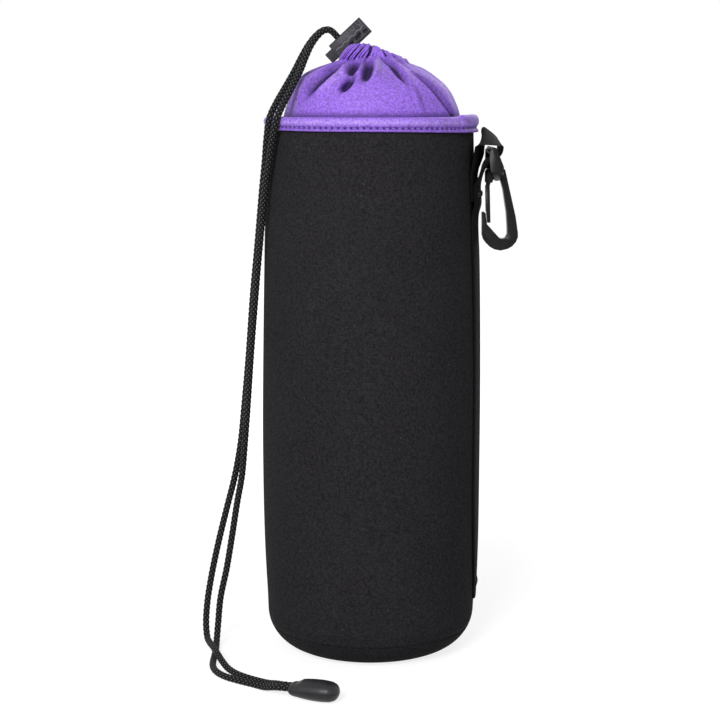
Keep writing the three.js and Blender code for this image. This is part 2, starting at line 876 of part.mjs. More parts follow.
// Middle line of a strand from the lock's exit to the knot
function tailCurve(side, hangingShares, lyingRoute) {
  const offset = (side * strandPitch) / 2;
  const start = legBeyondExit + fitGap;
  const leading = [start, start + tailLead].map((reach) => {
    return lockExit.clone().addScaledVector(acrossCasing, offset).addScaledVector(throughLock, reach);
  });
  const hanging = hangingShares.map(([across, back, rise]) => {
    return new THREE.Vector3(leftward(across), lockY + offset + back * bodyR, rise * lockExitZ);
  });
  const lying = lyingRoute.map(([across, depth, height]) => {
    return new THREE.Vector3(leftward(across), depth, height);
  });
  const up = new THREE.Vector3(0, 0, 1);
  const inside = [0, knotFrom - fitGap].map((reach) => {
    const point = new THREE.Vector3(reach, offset, 0).applyAxisAngle(up, endTurn);
    return point.add(new THREE.Vector3(endMouthX, endMouthY, endAxisZ));
  });
  return new THREE.CatmullRomCurve3([...leading, ...hanging, ...lying, ...inside]);
}

function cordTail(side, hangingShares, lyingRoute) {
  return tube(tailCurve(side, hangingShares, lyingRoute), cordD / 2, cordSides, tailSteps);
}

function endRadii(x) {
  const t = x / endLength;
  const i = Math.max(1, endShares.findIndex((row) => row[0] >= t));
  const [t0, w0, h0] = endShares[i - 1];
  const [t1, w1, h1] = endShares[i];
  const k = (t - t0) / (t1 - t0);
  return [(w0 + (w1 - w0) * k) * endHalfW, (h0 + (h1 - h0) * k) * endHalfH];
}

function endLoft(from, to, inset) {
  const inside = endShares.map((row) => row[0] * endLength).filter((x) => x > from && x < to);
  const rings = [from, ...inside, to].map((x) => {
    const [halfW, halfH] = endRadii(x);
    const ring = [];
    for (let j = 0; j < endSides; j += 1) {
      const angle = (2 * Math.PI * j) / endSides;
      ring.push(new THREE.Vector3(x, (halfW - inset) * Math.cos(angle), (halfH - inset) * Math.sin(angle)));
    }
    return ring;
  });
  return cappedLoft(rings);
}

function endBody() {
  const mouth = box(
    new THREE.Vector3(-cutOverrun, -slotHalfW, -cordD / 2 - fitGap),
    new THREE.Vector3(endMouthDepth, slotHalfW, cordD / 2 + fitGap),
  );
  const hollow = endLoft(endCavityFrom, endCavityTo, endWall);
  return toSolid(endLoft(0, endLength, 0)).subtract(toSolid(hollow)).subtract(toSolid(mouth));
}

// Half of the cord end, cut by the block on the other side of the seam
function endHalf(upper) {
  const seam = (upper ? 1 : -1) * (fitGap / 2);
  const beyond = (upper ? -1 : 1) * (endHalfH + cutOverrun);
  const block = box(
    new THREE.Vector3(-cutOverrun, -endHalfW - cutOverrun, Math.min(seam, beyond)),
    new THREE.Vector3(endLength + cutOverrun, endHalfW + cutOverrun, Math.max(seam, beyond)),
  );
  return placeEnd(fromSolid(endBody().subtract(toSolid(block))));
}

function cordKnot() {
  const ball = new THREE.SphereGeometry(1, knotSides, knotRings).rotateZ(Math.PI / 2);
  ball.scale(knotLength / 2, knotHalfW, knotHalfH);
  return placeEnd(ball.translate(knotFrom + knotLength / 2, 0, 0));
}

// Side strap, in its own plane: X outward from the pouch axis, Y across, Z up

function placeSide(geometry) {
  return geometry.rotateZ(strapTurn);
}

const strapStandoff = fitGap + strapT / 2;

// How far round the tube the webbing has drifted towards its foot
function strapDriftAt(z) {
  const share = Math.max(0, (strapDriftTopZ - z) / (strapDriftTopZ - strapFootZ));
  return strapDrift * share * share;
}

// Middle line of the webbing as [distance from the pouch axis, height, share of wrap round the tube]
function strapLine() {
  const line = [];
  for (let i = 0; i < strapRows; i += 1) {
    const share = (i / (strapRows - 1)) ** strapRowCrowding;
    const z = strapFootZ + share * (barZ - strapLeaveDrop - strapFootZ);
    line.push([bodyRadius(z) + strapStandoff, z, 1]);
  }
  for (const z of [barZ - strapLiftedDrop, barZ - strapPartDrop]) {
    line.push([bodyRadius(z) + strapStandoff + strapT + fitGap, z, 1]);
  }
  const bendR = crossbarR + fitGap + strapT / 2;
  for (const [out, up, wrap] of loopShares) {
    line.push([barR + out * bendR, barZ + up * bendR, wrap]);
  }
  for (const z of [barZ - tuckTopDrop, barZ - tuckEndDrop]) {
    line.push([bodyRadius(z) + strapStandoff, z, 1]);
  }
  return line;
}

// Rows of webbing along a middle line, curved round the tube by their share of wrap. Where they
// lie flat they are turned to run straight across, as the crossbar does.
function bandRows(line, width, thickness) {
  return line.map(([r, z, wrap], i) => {
    const before = line[Math.max(i - 1, 0)];
    const after = line[Math.min(i + 1, line.length - 1)];
    const along = new THREE.Vector2(after[0] - before[0], after[1] - before[1]).normalize();
    const drift = strapDriftAt(z);
    const row = { front: [], back: [] };
    for (let j = 0; j <= strapCells; j += 1) {
      const w = width * (j / strapCells - 0.5);
      const angle = drift + (w / r) * wrap;
      const flat = w * (1 - wrap);
      for (const [face, side] of [['front', 0.5], ['back', -0.5]]) {
        const reach = r + side * thickness * along.y;
        row[face].push(new THREE.Vector3(
          reach * Math.cos(angle) + flat * Math.sin(strapTurn),
          reach * Math.sin(angle) + flat * Math.cos(strapTurn),
          z - side * thickness * along.x,
        ));
      }
    }
    return row;
  });
}

function sideStrap() {
  return placeSide(bandLoft(bandRows(strapLine(), strapW, strapT)));
}

// Raised bar of stitching across the strap, which is one or two layers thick there
function barTack(z, layers) {
  const r = bodyRadius(z) + layers * (fitGap + strapT) + fitGap + tackT / 2;
  const line = [[r, z - tackH / 2, 1], [r, z + tackH / 2, 1]];
  return placeSide(bandLoft(bandRows(line, tackW, tackT)));
}

// Snap hook

function placeHook(geometry) {
  return placeSide(geometry.rotateY(-hookTilt).rotateZ(-strapTurn).translate(barR, 0, barZ));
}

const gateShoulderDrop = gateShoulderShare * hookLength;
const gateTipDrop = gateTipShare * hookLength;
const gateNotchDrop = gateNotchShare * hookLength;

function hookPoints(shares) {
  return shares.map(([across, down]) => [across * hookHalfW, -down * hookLength]);
}

function crossRod(radius, length, sides) {
  return new THREE.CylinderGeometry(radius, radius, length, sides);
}

function clipEye() {
  const innerHalfW = eyeHalfW - eyeArmT;
  const outline = [
    [-eyeHalfW, eyeTop],
    [-eyeHalfW, -eyeArmFoot],
    [-eyeFootHalfW, -eyeFoot],
    [eyeFootHalfW, -eyeFoot],
    [eyeHalfW, -eyeArmFoot],
    [eyeHalfW, eyeTop],
    [innerHalfW, eyeTop],
    [innerHalfW, -eyeRungTop],
    [-innerHalfW, -eyeRungTop],
    [-innerHalfW, eyeTop],
  ];
  const yoke = toSolid(plate(outline, cheekThickness).rotateZ(Math.PI / 2));
  const side = cheekShares.map(([across, down]) => [(across * cheekThickness) / 2, -down * eyeFoot]);
  return yoke.intersect(toSolid(plate(side, 2 * eyeHalfW + cutOverrun)));
}

function clipFrame() {
  const hook = toSolid(plate(hookPoints(hookShares), hookT));
  const bar = toSolid(crossRod(crossbarR, 2 * eyeHalfW - eyeArmT, 16));
  const slot = box(
    new THREE.Vector3(gatePivotX - gateSlotLeft, -gateSlotT / 2, -gateShoulderDrop - cutOverrun),
    new THREE.Vector3(gatePivotX + gateSlotRight, gateSlotT / 2, -gatePivotDrop + gateSlotTop),
  );
  const pinHole = crossRod(gatePinR + pinFit, hookT - 2 * fitGap, 12)
    .translate(gatePivotX, 0, -gatePivotDrop);
  const solid = hook.add(clipEye()).add(bar).subtract(toSolid(slot)).subtract(toSolid(pinHole));
  return placeHook(fromSolid(solid));
}

// The tongue stands against one side of the slot and leaves the other side to the spring
const tongueY = (gateTongueT - gateSlotT) / 2 + fitGap;

function clipGate() {
  const lever = [
    [gateTopLeft, -gateShoulderDrop],
    [gateNotchLeft + fitGap, -gateNotchDrop],
    [gateTipLeft, -gateNotchDrop - fitGap],
    [gateTipLeft, -gateTipDrop],
    [gateTipRight, -gateTipDrop],
    [gateTopRight, -gateShoulderDrop],
  ];
  const tongue = [
    [gatePivotX - gateTongueR, -gatePivotDrop],
    [gateTopLeft, -gateShoulderDrop - fitGap],
    [gateTopRight, -gateShoulderDrop - fitGap],
    [gatePivotX + gateTongueR, -gatePivotDrop],
  ];
  const root = crossRod(gateTongueR, gateTongueT, 16).translate(gatePivotX, tongueY, -gatePivotDrop);
  const pinHole = crossRod(gatePinR + pinFit, gateT, 12).translate(gatePivotX, 0, -gatePivotDrop);
  const solid = toSolid(plate(lever, gateT))
    .add(toSolid(plate(tongue, gateTongueT).translate(0, tongueY, 0)))
    .add(toSolid(root))
    .subtract(toSolid(pinHole));
  return placeHook(fromSolid(solid));
}

function clipGatePin() {
  const length = hookT - 4 * fitGap;
  return placeHook(crossRod(gatePinR, length, 12).translate(gatePivotX, 0, -gatePivotDrop));
}

function clipGateSpring() {
  const startY = gateSlotT / 2 - fitGap - gateSpringWireR;
  const endY = tongueY + gateTongueT / 2 + fitGap + gateSpringWireR;
  const helix = new Helix(gateSpringR, startY - endY, gateSpringTurns);
  const wire = tube(helix, gateSpringWireR, springSides, gateSpringTurns * stepsPerTurn);
  return placeHook(wire.rotateX(Math.PI / 2).translate(gatePivotX, startY, -gatePivotDrop));
}

// Assembly

const pouch = new THREE.Group();

function addPiece(name, geometry, look) {
  const mesh = new THREE.Mesh(merged(geometry), new THREE.MeshStandardMaterial(look));
  mesh.name = name;
  pouch.add(mesh);
}

addPiece('outer_sleeve', outerSleeve(), looks.neoprene);
addPiece('base_panel', basePanel(), looks.neoprene);
addPiece('base_pad', basePad(), looks.foam);
addPiece('base_lining', baseLining(), looks.purpleKnit);
addPiece('inner_lining', innerLining(), looks.purpleKnit);
addPiece('rim_binding', rimBinding(), looks.purpleKnit);
addPiece('collar', collar(), looks.purpleKnit);
addPiece('drawstring', drawstring(), looks.cord);
addPiece('lock_housing', lockHousing(), looks.mattePlastic);
addPiece('lock_button', lockButton(), looks.mattePlastic);
addPiece('lock_spring', lockSpring(), looks.steel);
addPiece('cord_tail_left', cordTail(1, hangingLeftShares, lyingLeftRoute), looks.cord);
addPiece('cord_tail_right', cordTail(-1, hangingRightShares, lyingRightRoute), looks.cord);
addPiece('cord_end_shell', endHalf(false), looks.glossPlastic);
addPiece('cord_end_cap', endHalf(true), looks.glossPlastic);
addPiece('cord_knot', cordKnot(), looks.cord);
addPiece('side_strap', sideStrap(), looks.webbing);
addPiece('strap_tack_top', barTack(barZ - tackTopDrop, 2), looks.webbing);
addPiece('strap_tack_base', barTack(tackBaseZ, 1), looks.webbing);
addPiece('clip_frame', clipFrame(), looks.mattePlastic);
addPiece('clip_gate', clipGate(), looks.mattePlastic);
addPiece('clip_gate_pin', clipGatePin(), looks.steel);
addPiece('clip_gate_spring', clipGateSpring(), looks.steel);

export default pouch;
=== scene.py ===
"""Lens pouch: a neoprene tube with a gathered knit collar, drawstring, cord lock and snap hook."""

import json
import math

import bpy
import numpy as np
from mathutils import Matrix, Vector

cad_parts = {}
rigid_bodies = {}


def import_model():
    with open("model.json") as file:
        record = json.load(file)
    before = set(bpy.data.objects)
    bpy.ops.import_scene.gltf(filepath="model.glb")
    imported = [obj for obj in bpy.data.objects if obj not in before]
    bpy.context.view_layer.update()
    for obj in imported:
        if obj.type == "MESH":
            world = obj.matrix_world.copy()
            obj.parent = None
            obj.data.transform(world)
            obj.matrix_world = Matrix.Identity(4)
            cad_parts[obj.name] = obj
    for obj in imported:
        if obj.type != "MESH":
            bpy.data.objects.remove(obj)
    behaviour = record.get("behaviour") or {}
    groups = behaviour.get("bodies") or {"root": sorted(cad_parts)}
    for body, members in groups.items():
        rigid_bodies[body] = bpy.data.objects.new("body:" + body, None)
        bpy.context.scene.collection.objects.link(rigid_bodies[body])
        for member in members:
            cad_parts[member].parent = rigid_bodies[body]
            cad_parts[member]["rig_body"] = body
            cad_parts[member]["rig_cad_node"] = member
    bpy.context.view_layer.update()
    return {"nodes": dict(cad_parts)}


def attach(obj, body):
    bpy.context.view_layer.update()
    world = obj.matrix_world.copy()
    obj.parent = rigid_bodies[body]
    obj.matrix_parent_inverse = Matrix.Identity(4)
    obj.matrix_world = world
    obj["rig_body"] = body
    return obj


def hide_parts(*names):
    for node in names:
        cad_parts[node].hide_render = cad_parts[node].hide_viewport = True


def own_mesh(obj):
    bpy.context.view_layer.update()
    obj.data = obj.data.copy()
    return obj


bl_info = {
    "name": "Lens pouch",
    "version": (1, 0, 0),
    "blender": (4, 5, 0),
    "location": "3D View > Sidebar > Lens pouch",
    "description": "Models a padded lens pouch with its cord lock, strap and snap hook",
    "category": "Object",
}

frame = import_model()

MM = 0.001
SEED = 11

# Middle lines of the two strands from the lock to the knot, in metres
TAIL_LEFT = [
    (-0.01662, 0.0062, 0.28665), (-0.0171, 0.0062, 0.28716), (-0.0192, 0.00615, 0.2883),
    (-0.022, 0.0059, 0.2878), (-0.025, 0.005, 0.2854), (-0.0283, 0.0032, 0.2812),
    (-0.0314, -0.0006, 0.2756), (-0.0348, -0.006, 0.2686), (-0.0386, -0.012, 0.2616),
    (-0.0422, -0.0186, 0.2549), (-0.0449, -0.0236, 0.2484), (-0.0462, -0.0228, 0.2406),
    (-0.0474, -0.0192, 0.229), (-0.0489, -0.016, 0.2161), (-0.0513, -0.013, 0.1919),
    (-0.0538, -0.0108, 0.168), (-0.0561, -0.0093, 0.14), (-0.0584, -0.0085, 0.1162),
    (-0.0604, -0.0078, 0.098), (-0.0634, -0.0068, 0.082), (-0.067, -0.006, 0.068),
    (-0.0714, -0.005, 0.0505), (-0.0752, -0.004, 0.033), (-0.0773, -0.0041, 0.02),
    (-0.0779, -0.0054, 0.01), (-0.077, -0.0094, 0.0046), (-0.0756, -0.0144, 0.0039),
    (-0.0742, -0.02, 0.0045), (-0.0725, -0.0264, 0.00495), (-0.0704, -0.0328, 0.0044),
    (-0.0678, -0.0392, 0.003), (-0.0646, -0.046, 0.0018), (-0.0606, -0.0526, 0.0016),
    (-0.0556, -0.0582, 0.0016), (-0.05, -0.0628, 0.0016), (-0.045, -0.0678, 0.0022),
    (-0.041, -0.0736, 0.0039), (-0.0376, -0.0772, 0.00465), (-0.0338, -0.0786, 0.0047),
    (-0.02658, -0.08123, 0.0047),
]
TAIL_RIGHT = [
    (-0.01662, 0.0028, 0.28665), (-0.0171, 0.0028, 0.28716), (-0.0191, 0.0027, 0.28815),
    (-0.0216, 0.0023, 0.2876), (-0.0242, 0.001, 0.2852), (-0.0269, -0.0018, 0.2812),
    (-0.0292, -0.0058, 0.276), (-0.0315, -0.0112, 0.2697), (-0.0348, -0.0174, 0.2626),
    (-0.0386, -0.0237, 0.255), (-0.0415, -0.0292, 0.248), (-0.0434, -0.0278, 0.2401),
    (-0.0453, -0.0244, 0.229), (-0.0474, -0.0205, 0.2163), (-0.0501, -0.017, 0.1922),
    (-0.0524, -0.0148, 0.169), (-0.0548, -0.0133, 0.142), (-0.0567, -0.0125, 0.1169),
    (-0.0582, -0.0118, 0.099), (-0.0598, -0.0109, 0.083), (-0.0622, -0.0102, 0.07),
    (-0.0648, -0.009, 0.054), (-0.0676, -0.0076, 0.038), (-0.0708, -0.0069, 0.023),
    (-0.072, -0.0072, 0.011), (-0.0725, -0.0098, 0.004), (-0.0724, -0.0146, 0.0017),
    (-0.0722, -0.021, 0.0016), (-0.0721, -0.0286, 0.0016), (-0.0721, -0.0364, 0.0016),
    (-0.0714, -0.044, 0.0016), (-0.0689, -0.0514, 0.0016), (-0.0644, -0.0576, 0.0016),
    (-0.0584, -0.0626, 0.0016), (-0.052, -0.0672, 0.0016), (-0.0466, -0.0722, 0.002),
    (-0.0424, -0.0772, 0.0037), (-0.0388, -0.0804, 0.00465), (-0.035, -0.0818, 0.0047),
    (-0.02774, -0.08443, 0.0047),
]

# Sizes below are in millimetres, angles in radians unless a comment says degrees

# Body: rows of [share of the height above the base corner, share of the body's radius]
BODY_ROWS = [(0, 0.975), (0.1, 0.991), (0.3, 1), (0.57, 0.996), (0.75, 0.98), (0.9, 0.957), (1, 0.944)]
BASE_CORNER = 18.5
BASE_SEAM_Z = 11
NEOPRENE = 4.5
LINING = 0.8
GAP = 0.3
LIP_EDGE = 0.35
SEAM_HALF_GAP = 0.06
SEAM_RISE = 1.9
SEAM_STITCH_GAP = 1.0
SEAM_THREAD = 0.26
PAD_THICKNESS = 5
LINING_BELOW_TOP = 4.6
BODY_STEPS = 144
PAD_STEPS = 72
LINING_STEPS = 96
RIM_STEPS = 540

# Slack of the body: how far it leans, at which height and over what reach, and how far it swells
LEAN = 0.45
LEAN_Z = 26
LEAN_REACH = 90
SWELL_FOOT = 14
SWELL_RISE = 218
OVAL_SWELL = 0.35
TRIPLE_SWELL = 0.22
NOMINAL_R = 50

# Rim binding: its depth on the outside, and its stitch row
BINDING_DEPTH = 5.1
ROW_RISE = 1.62
ROW_SINK = 0.3
ROW_GAP = 0.75
ROW_THREAD = 0.42

# Collar: rows of [share of its rise, left share, right share of the foot's radius, tilt share]
COLLAR_ROWS = [
    (0, 1, 1, 0), (0.18, 0.965, 1, 0), (0.28, 0.942, 0.983, 0), (0.41, 0.905, 0.942, 0),
    (0.52, 0.876, 0.9, 0), (0.63, 0.835, 0.832, 0), (0.73, 0.78, 0.738, 0),
    (0.81, 0.69, 0.65, 0), (0.88, 0.56, 0.552, 0), (0.935, 0.418, 0.445, 0.05),
    (0.97, 0.292, 0.375, 0.25), (1, 0.182, 0.304, 1),
]
COLLAR_FOOT_Z = 243.4
COLLAR_FOOT_R = 41.1
COLLAR_RISE = 31.7
MOUTH_X = 2.5
CASING_TILT = math.radians(16)
LOCK_Y = 4.5

# From this depth on a fold has steep sides; folds of middle depth also get painted shade on one bank
STEEP_FROM = 2.4
BANKED_DEPTHS = (1.3, 2.3)

# Folds of the collar: points of [degrees round it, share of its rise], depth and half-width.
# A negative depth is a ridge that stands out.
FOLDS = [
    ([(232, 0.925), (231.5, 0.765), (224.5, 0.6), (216, 0.43)], 2.1, 2.3),
    ([(249, 0.945), (252.5, 0.84), (253, 0.75)], 3.6, 1.9),
    ([(255, 0.715), (251.5, 0.61), (247.5, 0.525)], 3.1, 1.9),
    ([(269, 0.955), (268, 0.82), (264.5, 0.66)], 3.8, 1.75),
    ([(298, 0.97), (295.5, 0.85), (296, 0.74), (300.5, 0.61)], 1.9, 1.3),
    ([(320, 0.975), (315, 0.9), (311, 0.82)], 0.9, 1.4),
    ([(312, 0.8), (315, 0.73), (319, 0.6), (325, 0.41), (331, 0.235), (334, 0.12)], 1.7, 1.25),
    ([(304, 0.65), (306, 0.5), (307, 0.35), (308.5, 0.15)], 0.55, 1.2),
    ([(281, 0.985), (274.5, 0.88), (272, 0.72)], -1.5, 2.0),
    ([(212, 0.975), (219, 0.88), (216, 0.69), (205, 0.5)], -1.2, 2.8),
    ([(243, 0.9), (241, 0.745), (232.5, 0.615), (225, 0.5)], -1.0, 2.2),
    ([(310, 0.97), (304, 0.8), (305.5, 0.6)], -0.9, 2.6),
    ([(329, 0.73), (334, 0.47), (338, 0.2)], -0.9, 3.0),
    ([(345, 0.97), (348, 0.86), (352, 0.7), (356, 0.52)], 1.1, 1.8),
    ([(15, 0.965), (20, 0.85), (22, 0.68)], 1.4, 1.9),
    ([(48, 0.96), (46, 0.83), (50, 0.62), (53, 0.42)], 1.9, 2.1),
    ([(63, 0.96), (62, 0.8), (66, 0.6)], -0.9, 2.4),
    ([(78, 0.955), (80, 0.84), (77, 0.72)], 2.6, 2.0),
    ([(104, 0.96), (109, 0.85), (110, 0.66), (106, 0.46)], 1.8, 2.2),
    ([(120, 0.96), (121, 0.8), (118, 0.55)], -1.0, 2.6),
    ([(133, 0.955), (131, 0.83), (134, 0.7)], 2.5, 1.9),
    ([(163, 0.96), (165, 0.84), (169, 0.62), (172, 0.4)], 1.7, 2.2),
    ([(192, 0.96), (196, 0.86), (199, 0.72)], 1.2, 1.7),
]

# Gathers in front of the casing: [x, y, z] of the middle, half-depth and half-height
GATHER_ROWS = [
    (-14.3, -4.0, 274.6, 0.25, 0.35), (-13.3, -4.5, 275.0, 1.3, 1.6), (-11.3, -5.2, 276.2, 2.2, 3.1),
    (-8.8, -5.7, 277.3, 2.7, 4.0), (-5.0, -6.0, 277.7, 3.0, 4.1), (-1.0, -6.0, 277.3, 3.1, 4.3),
    (3.0, -5.4, 276.1, 3.1, 4.3), (7.5, -3.6, 274.5, 3.0, 3.9), (11.5, -0.5, 273.3, 2.8, 3.6),
    (13.4, 4.0, 272.8, 2.5, 3.3), (13.2, 7.4, 272.7, 0.4, 0.6),
]
# Creases of the gathers: [x at mid height, depth, half-width, lean]
GATHER_CREASES = [
    (-12.6, 0.5, 0.4, 0.9), (-11.4, 0.8, 0.45, 0.9), (-10.1, 0.9, 0.4, 0.95), (-8.9, 0.6, 0.35, 0.9),
    (-7.7, 1.1, 0.5, 0.85), (-6.1, 0.7, 0.35, 0.85), (-4.9, 1.2, 0.5, 0.75), (-3.4, 0.8, 0.4, 0.7),
    (-2.2, 1.0, 0.45, 0.6), (-0.7, 1.5, 0.6, 0.35), (1.0, 0.5, 0.4, 0.2), (6.6, 1.3, 0.6, -0.45),
    (8.2, 0.5, 0.5, -0.5), (10.6, 0.9, 0.6, -0.5),
]

# Casing: the bight of the drawstring in its tilted plane, as [share of its reach, share of its width]
CASING_ROWS = [(0.255, 0.553), (0.404, 0.868), (0.606, 1), (0.819, 0.816), (0.957, 0.447)]
BIGHT_ROWS = [(0.128, 0.342), (0.245, 0.605), (0.404, 0.868), (0.606, 1), (0.819, 0.816), (0.957, 0.447)]
BIGHT_REACH = 18.8
BIGHT_HALF = 7.6
CASING_NECK = 0.2
CASING_HALF_W = 3.2
CASING_HALF_H = 4.6
PLEAT_DEPTH = 0.62

# Cloth of the casing and of the gathers: its length and its round, for the direction of the knit
CASING_CLOTH = (45, 25)
GATHER_CLOTH = (38, 22)

# Cord lock: u runs along the housing, h through it towards the exit of the strands
LOCK_ANGLE = math.radians(43)
LOCK_EXIT = Vector((-14.75, LOCK_Y, 284.65))
LOCK_SETBACK = 5.7
LOCK_HALF_T = 4.25
LOCK_HALF_W = 6.1
LEG_BEYOND = 2.4
LOCK_RIDGES = (5.25, 9.1, 12.95, 16.75)
RIDGE_R = 0.98
RIDGE_HALF = 0.27
RIDGE_LEG = 1.15
RIDGE_TOP = 2.45
RAIL_START = 1.2
RAIL_STOP = 17.6
RAIL_WAVE = 3.85
# Pockets of the lock's face: low and high corners as (u, h)
LOCK_POCKETS = (
    ((11.0, -2.9), (13.6, -1.25)), ((13.0, -2.2), (14.6, -0.75)),
    ((15.6, -2.9), (17.9, -1.5)), ((7.4, -2.7), (9.6, -1.5)),
)
POCKET_DEPTH = 0.8
# Painted shade under each face of the lock, in its pockets and recesses: how deep under the face it starts
# and stops
FACE_GROOVE = (0.4, 1.0)

# Cord end: rows of [share of its length, share of its half-width, share of its half-height]
END_MOUTH = Vector((-34.4, -80.2, 4.7))
END_TURN = math.radians(-20)
END_LENGTH = 22
END_HALF_W = 5.75
END_HALF_H = 4.6
END_ROWS = [
    (0, 0.79, 0.6), (0.03, 0.84, 0.68), (0.18, 0.92, 0.83), (0.36, 0.97, 0.95), (0.54, 1, 1),
    (0.74, 0.98, 0.98), (0.87, 0.87, 0.88), (0.95, 0.64, 0.65), (0.985, 0.38, 0.38), (1, 0.12, 0.12),
]
# Finger step of the upper half: where it starts and stops as shares of the length, and its low share
END_STEP = (0.1, 0.27, 0.7)
# Half the gap between the two halves, and how far the blocks that part them reach
END_SEAM = 0.07
END_CLEAR = 9
# Low corner, high corner and edge radius of the hollow and of the entry
END_HOLLOW = ((4.8, -4.2, -2.9), (19.0, 4.2, 2.9), 1.8)
END_ENTRY = ((-2, -3.4, -1.52), (6.5, 3.4, 1.52), 0.2)
KNOT_REACH = (3.1, 2.3, 1.5)
KNOT_PLACE = (12.5, 0, 0)

# Braid: strands round the cord, and their spacing round it and along it
BRAID_STRANDS = 5
BRAID_ACROSS = 1.9
BRAID_ALONG = 2.3
BRAID_DEPTH = 0.22

# Strap: heights, and the loop round the crossbar as [out, up, share of wrap round the body],
# where out and up are in radii of the webbing's bend
STRAP_TURN = math.radians(-7)
STRAP_DRIFT = math.radians(9)
STRAP_DRIFT_TOP = 92
STRAP_FOOT = 24
BAR_R = 55.85
BAR_Z = 233.6
CROSSBAR_R = 1.7
LOOP_ROWS = [
    (-1.56, -3.62, 0.5), (-1.25, -2.57, 0.25), (-0.68, -1.7, 0.08), (0.08, -1.21, 0),
    (0.84, -0.83, 0), (1.33, -0.11, 0), (1.46, 0.87, 0), (1.25, 1.74, 0), (0.61, 2.57, 0),
    (-0.53, 3.47, 0.05), (-1.29, 3.89, 0.3), (-1.69, 3.51, 0.6), (-1.94, 2.26, 0.8),
    (-2.13, 0.15, 0.95), (-2.32, -2.11, 1),
]
LOOP_DROOP = 7.4
LOOP_DROOP_FROM = 2.0
LOOP_TOP = 10.2
LOOP_LEAN = 2.2
# Depths under the crossbar: top of the plain run, the run over the tucked end, and the tucked end
STRAP_RUN_TOP = 29.6
STRAP_OVER = (24.1, 15.6)
STRAP_TUCKED = (11.6, 22.6)
RIB_PITCH = 2.1
PICK_PITCH = 1.1
WEAVE_RELIEF = 0.09
# Bar tacks: half-width, number, length and thickness of the stitches of the zigzag and of each row
TACK_TOP_Z = BAR_Z - 19.6
TACK_FOOT_Z = 31
TACK_ZIGZAG = (10.6, 34, 2.5, 0.5)
TACK_ROW = (10.0, 11, 2.3, 0.45)
TACK_ROW_SHIFT = 0.55

# Finishes: colours, and [roughness, grain in metres, scuffs, coat, shine] of each plastic
BLACK_THREAD = (0.016, 0.016, 0.017)
PURPLE_THREAD = (0.3, 0.17, 0.66)
FOAM_GREY = (0.05, 0.05, 0.053)
LOCK_PLASTIC = (0.42, 0.00004, 0.5, 0.0, 0.14)
END_PLASTIC = (0.38, 0.000006, 0.08, 0.0, 0.3)
HOOK_PLASTIC = (0.34, 0.00003, 0.45, 0.02, 0.12)

# Stage: the camera's place in millimetres, and in metres the floor's radius and the lights as
# [name, place, target, size, setting of their power]
CAMERA_PLACE = (-4.7, -800, 254.9)
FLOOR_R = 2.2
LIGHTS = (
    ("key_light", (-0.38, -1.14, 0.75), (0, 0, 0.17), 0.5, "key_power"),
    ("fill_light", (0.8, -0.5, 0.35), (0, 0, 0.15), 0.6, "fill_power"),
    ("back_light", (0.5, 1.2, 0.8), (0, 0, 0.15), 0.8, "back_power"),
)


# Selection and mesh helpers


def deselect():
    if bpy.context.object and bpy.context.object.mode != "OBJECT":
        bpy.ops.object.mode_set(mode="OBJECT")
    bpy.ops.object.select_all(action="DESELECT")


def choose(*pieces):
    deselect()
    for piece in pieces:
        piece.select_set(True)
    bpy.context.view_layer.objects.active = pieces[0]


def edit(piece):
    choose(piece)
    bpy.ops.object.mode_set(mode="EDIT")
    bpy.ops.mesh.select_all(action="SELECT")


def edit_kept(piece):
    """Edit mode with the selection kept as it is."""
    bpy.context.view_layer.objects.active = piece
    bpy.ops.object.mode_set(mode="EDIT")


def leave_edit():
    bpy.ops.object.mode_set(mode="OBJECT")


def face_outward(piece):
    edit(piece)
    bpy.ops.mesh.normals_make_consistent(inside=False)
    leave_edit()


def points_of(piece):
    """Vertex places of a piece in millimetres."""
    flat = np.empty(len(piece.data.vertices) * 3)
    piece.data.vertices.foreach_get("co", flat)
    return flat.reshape(-1, 3) / MM


def set_points(piece, points):
    piece.data.vertices.foreach_set("co", (points * MM).astype(np.float32).ravel())
    piece.data.update()


def mark(piece, name, values):
    """Writes one value per vertex, which the finish reads by its name."""
    made = piece.data.attributes.new(name, "FLOAT", "POINT")
    made.data.foreach_set("value", np.asarray(values, np.float32).ravel())


def smooth_by_angle(piece, degrees=35):
    choose(piece)
    bpy.ops.object.shade_smooth_by_angle(angle=math.radians(degrees))


def shade_smooth(piece):
    choose(piece)
    bpy.ops.object.shade_smooth()


def apply_modifiers(piece):
    choose(piece)
    for modifier in list(piece.modifiers):
        bpy.ops.object.modifier_apply(modifier=modifier.name)


def add_modifier(piece, kind, **values):
    modifier = piece.modifiers.new(kind.title(), kind)
    for key, value in values.items():
        setattr(modifier, key, value)
    return modifier


def bevel(piece, width, segments=2, degrees=30):
    add_modifier(
        piece, "BEVEL", width=width * MM, segments=segments, limit_method="ANGLE",
        angle_limit=math.radians(degrees), harden_normals=True, use_clamp_overlap=True,
    )
    apply_modifiers(piece)


def cut_away(piece, cutter):
    """Cuts one piece out of another and deletes the cutter."""
    add_modifier(piece, "BOOLEAN", object=cutter, operation="DIFFERENCE", solver="EXACT")
    apply_modifiers(piece)
    choose(cutter)
    bpy.ops.object.delete()


def join(pieces):
    choose(*pieces)
    bpy.ops.object.join()
    return bpy.context.object


